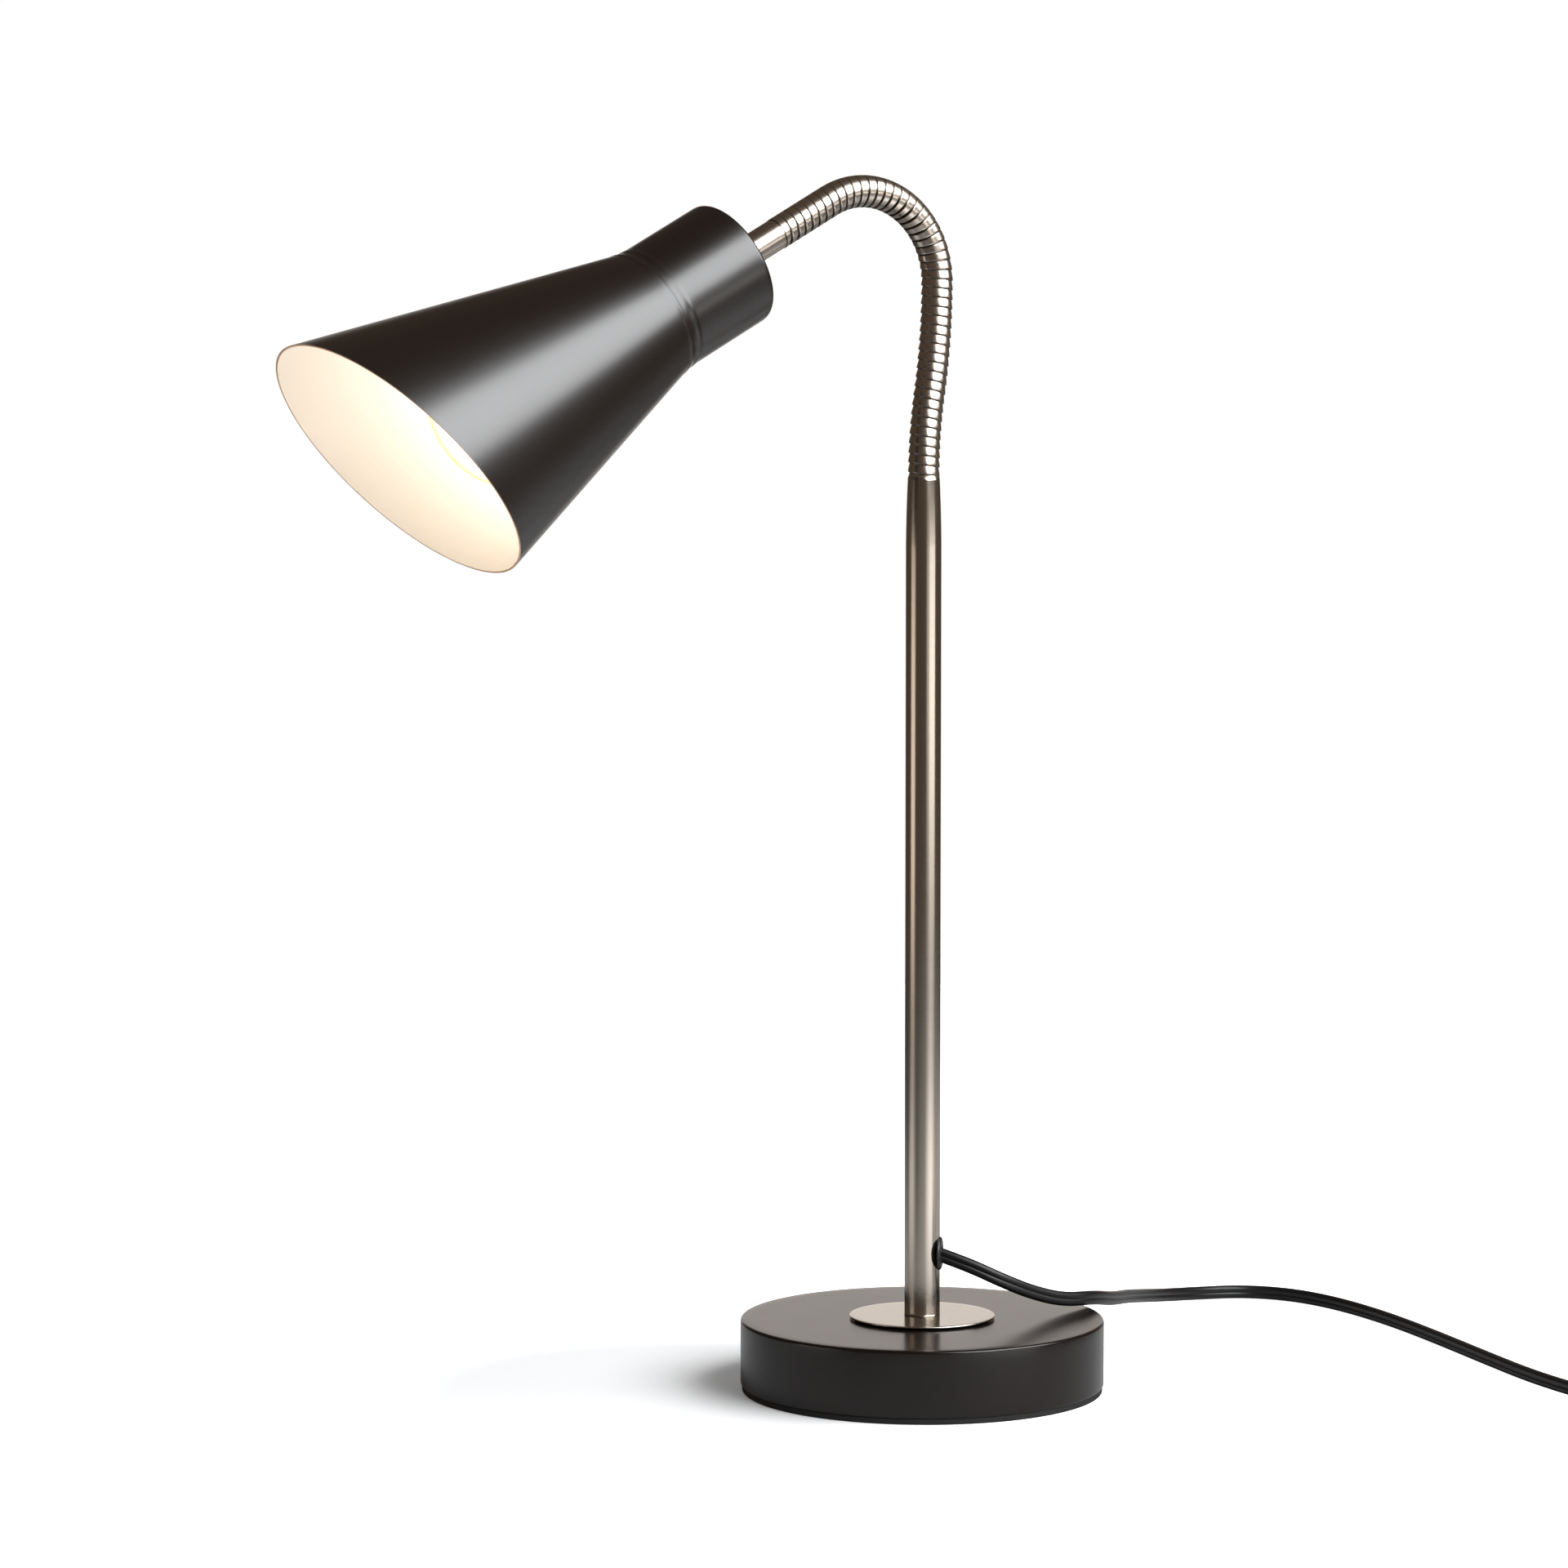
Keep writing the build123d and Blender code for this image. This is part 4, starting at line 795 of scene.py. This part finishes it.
# Cast iron: dark grey and dull, with the skin of its sand mould, 1 mm apart.
cast_iron, tree, shader = new_finish("grey_cast_iron")
place = add_node(tree, "ShaderNodeTexCoord")
sand = add_node(tree, "ShaderNodeTexNoise", {"Vector": place.outputs["Object"], "Scale": 1 / 0.001, "Detail": 5})
relief = add_node(tree, "ShaderNodeBump", {"Height": sand.outputs["Fac"], "Strength": 0.6, "Distance": 0.0002})
tree.links.new(relief.outputs["Normal"], shader.inputs["Normal"])
shader.inputs["Base Color"].default_value = srgb("#3a3836")
shader.inputs["Roughness"].default_value = 0.7

for finish, nodes in (
    (zinc, ("base_nut", "lock_washer", "base_nipple", "stem_insert", "neck_socket", "ferrule_nipple", "shade_washer",
            "shade_nut", "switch_screws")),
    (cast_iron, ("base_weight",)),
    (cord_pvc, ("stem_lead",)),
    (brass, ("holder_shell", "holder_contact", "bulb_contact")),
    (bright_nickel, ("bulb_cap",)),
):
    for node in nodes:
        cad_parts[node].data.materials.clear()
        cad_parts[node].data.materials.append(finish)


# Studio: a white paper table, a large soft box high at the right in front with a weak halo round it, two low cards
# below it and a narrow box at the left. The camera sees white all round, while shiny pieces see a dim brown room, a
# bright screen behind the lamp, and a table painted darker away from the lamp with painted pools of light on it.
toward = Vector((-sin(camera_turn), -cos(camera_turn), 0))

# White paper: matt, and lifted to full white for the camera away from the base, so that it keeps the lamp's
# shadow there.
table_paper, tree, shader = new_finish("white_paper_table")
shader.inputs["Roughness"].default_value = 0.9
shader.inputs["Emission Color"].default_value = (1, 1, 1, 1)
place = add_node(tree, "ShaderNodeTexCoord")
light_path = add_node(tree, "ShaderNodeLightPath")


def around_point(spot, near, far, at_near, at_far):
    """Value on the table that runs from at_near to at_far as the distance from a spot goes from near to far."""
    reach = add_node(tree, "ShaderNodeVectorMath", {0: place.outputs["Object"], 1: spot}, operation="DISTANCE")
    return add_node(tree, "ShaderNodeMapRange", {
        "Value": reach.outputs["Value"], "From Min": near, "From Max": far, "To Min": at_near, "To Max": at_far,
    }).outputs["Result"]


# Painted shade and light for shiny pieces only: the table's colour is painted darker away from a spot near the lamp,
# and painted pools of light glow on it in glossy rays.
dimmed = around_point(across * 0.15 - toward * 0.25, 0.4, 0.75, 0.48, 0.12)
paper = add_node(tree, "ShaderNodeMix", {
    0: light_path.outputs["Is Glossy Ray"], 2: 0.9, 3: dimmed}, data_type="FLOAT")
lifted = around_point(across * -0.09, 0.08, 0.18, 0.12, 1.0)
right_pool = around_point(across * 0.42 + toward * 0.34, 0.12, 0.36, 1.7, 0)
left_pool = around_point(across * -0.5 + toward * 0.14, 0.1, 0.3, 0.9, 0)
front_pool = around_point(toward * 0.5, 0.1, 0.35, 0.22, 0)
far_pool = around_point(across * 1.43 + toward * 0.93, 0.3, 0.6, 1.2, 0)
near_pools = add_node(tree, "ShaderNodeMath", {0: right_pool, 1: left_pool}, operation="ADD")
more_pools = add_node(tree, "ShaderNodeMath", {0: far_pool, 1: front_pool}, operation="ADD")
pools = add_node(tree, "ShaderNodeMath", {
    0: near_pools.outputs["Value"], 1: more_pools.outputs["Value"]}, operation="ADD")
shown = add_node(tree, "ShaderNodeMath", {
    0: light_path.outputs["Is Camera Ray"], 1: light_path.outputs["Is Transmission Ray"]}, operation="MAXIMUM")
lift = add_node(tree, "ShaderNodeMath", {0: shown.outputs["Value"], 1: lifted}, operation="MULTIPLY")
glint = add_node(tree, "ShaderNodeMath", {
    0: light_path.outputs["Is Glossy Ray"], 1: pools.outputs["Value"], 2: lift.outputs["Value"],
}, operation="MULTIPLY_ADD")
tree.links.new(paper.outputs[0], shader.inputs["Base Color"])
tree.links.new(glint.outputs["Value"], shader.inputs["Emission Strength"])
table = surface("table", turned([(0, 0), (1.3, 0)])[:, ::-1], table_paper, around=True)

world = bpy.data.worlds.new("studio")
scene.world = world
world.use_nodes = True
tree = world.node_tree
room = add_node(tree, "ShaderNodeTexCoord")
behind = add_node(tree, "ShaderNodeVectorMath", {0: room.outputs["Generated"], 1: -toward}, operation="DOT_PRODUCT")
wide = add_node(tree, "ShaderNodeMapRange", {
    "Value": behind.outputs["Value"], "From Min": 0.9, "From Max": 0.97}, interpolation_type="SMOOTHSTEP")
height = add_node(tree, "ShaderNodeSeparateXYZ", {0: room.outputs["Generated"]})
low = add_node(tree, "ShaderNodeMapRange", {
    "Value": height.outputs["Z"], "From Min": 0.36, "From Max": 0.22}, interpolation_type="SMOOTHSTEP")
backdrop = add_node(tree, "ShaderNodeMath", {
    0: wide.outputs["Result"], 1: low.outputs["Result"]}, operation="MULTIPLY")
light_path = add_node(tree, "ShaderNodeLightPath")
walls = add_node(tree, "ShaderNodeMix", {
    0: light_path.outputs["Is Glossy Ray"], 6: (0.14, 0.14, 0.14, 1), 7: (0.1, 0.073, 0.054, 1)}, data_type="RGBA")
screen = add_node(tree, "ShaderNodeMix", {
    0: backdrop.outputs["Value"], 6: walls.outputs[2], 7: (1, 0.92, 0.86, 1)}, data_type="RGBA")
shown = add_node(tree, "ShaderNodeMath", {
    0: light_path.outputs["Is Camera Ray"], 1: light_path.outputs["Is Transmission Ray"]}, operation="MAXIMUM")
sky = add_node(tree, "ShaderNodeMix", {
    0: shown.outputs["Value"], 6: screen.outputs[2], 7: (1, 1, 1, 1)}, data_type="RGBA")
tree.links.new(sky.outputs[2], tree.nodes["Background"].inputs["Color"])


def soft_box(name, azimuth, elevation, roll, distance, width, height, radiance, colour):
    """Rectangular soft light round the lamp: azimuth counts to the right of the camera, roll lifts its right
    end, and its power is its radiance times its area times four."""
    lamp = bpy.data.lights.new(name, "AREA")
    lamp.shape = "RECTANGLE"
    lamp.size, lamp.size_y = width, height
    lamp.energy, lamp.color = radiance * width * height * 4, srgb(colour)[:3]
    box = bpy.data.objects.new(name, lamp)
    turn, rise = radians(azimuth), radians(elevation)
    way = (across * sin(turn) + toward * cos(turn)) * cos(rise) + Vector((0, 0, sin(rise)))
    box.location = Vector((-0.05, 0, 0.25)) + way * distance
    box.rotation_euler = (way.to_track_quat("Z", "Y").to_matrix() @ Matrix.Rotation(radians(roll), 3, "Z")).to_euler()
    scene.collection.objects.link(box)


soft_box("key_box", 60, 35.8, 7, 2.0, 2.4, 1.34, 5.6, "#fbfdff")
soft_box("key_halo", 60, 39, 7, 1.95, 3.0, 1.8, 0.7, "#fbfdff")
soft_box("low_card", 50, -2.4, 0, 2.4, 2.6, 0.3, 0.7, "#fffdf8")
soft_box("inner_card", 58, -2.5, 0, 2.3, 1.7, 0.3, 1.35, "#fffdf8")
soft_box("side_box", -71, -4.5, 0, 1.4, 0.75, 0.27, 1.15, "#fff4e8")
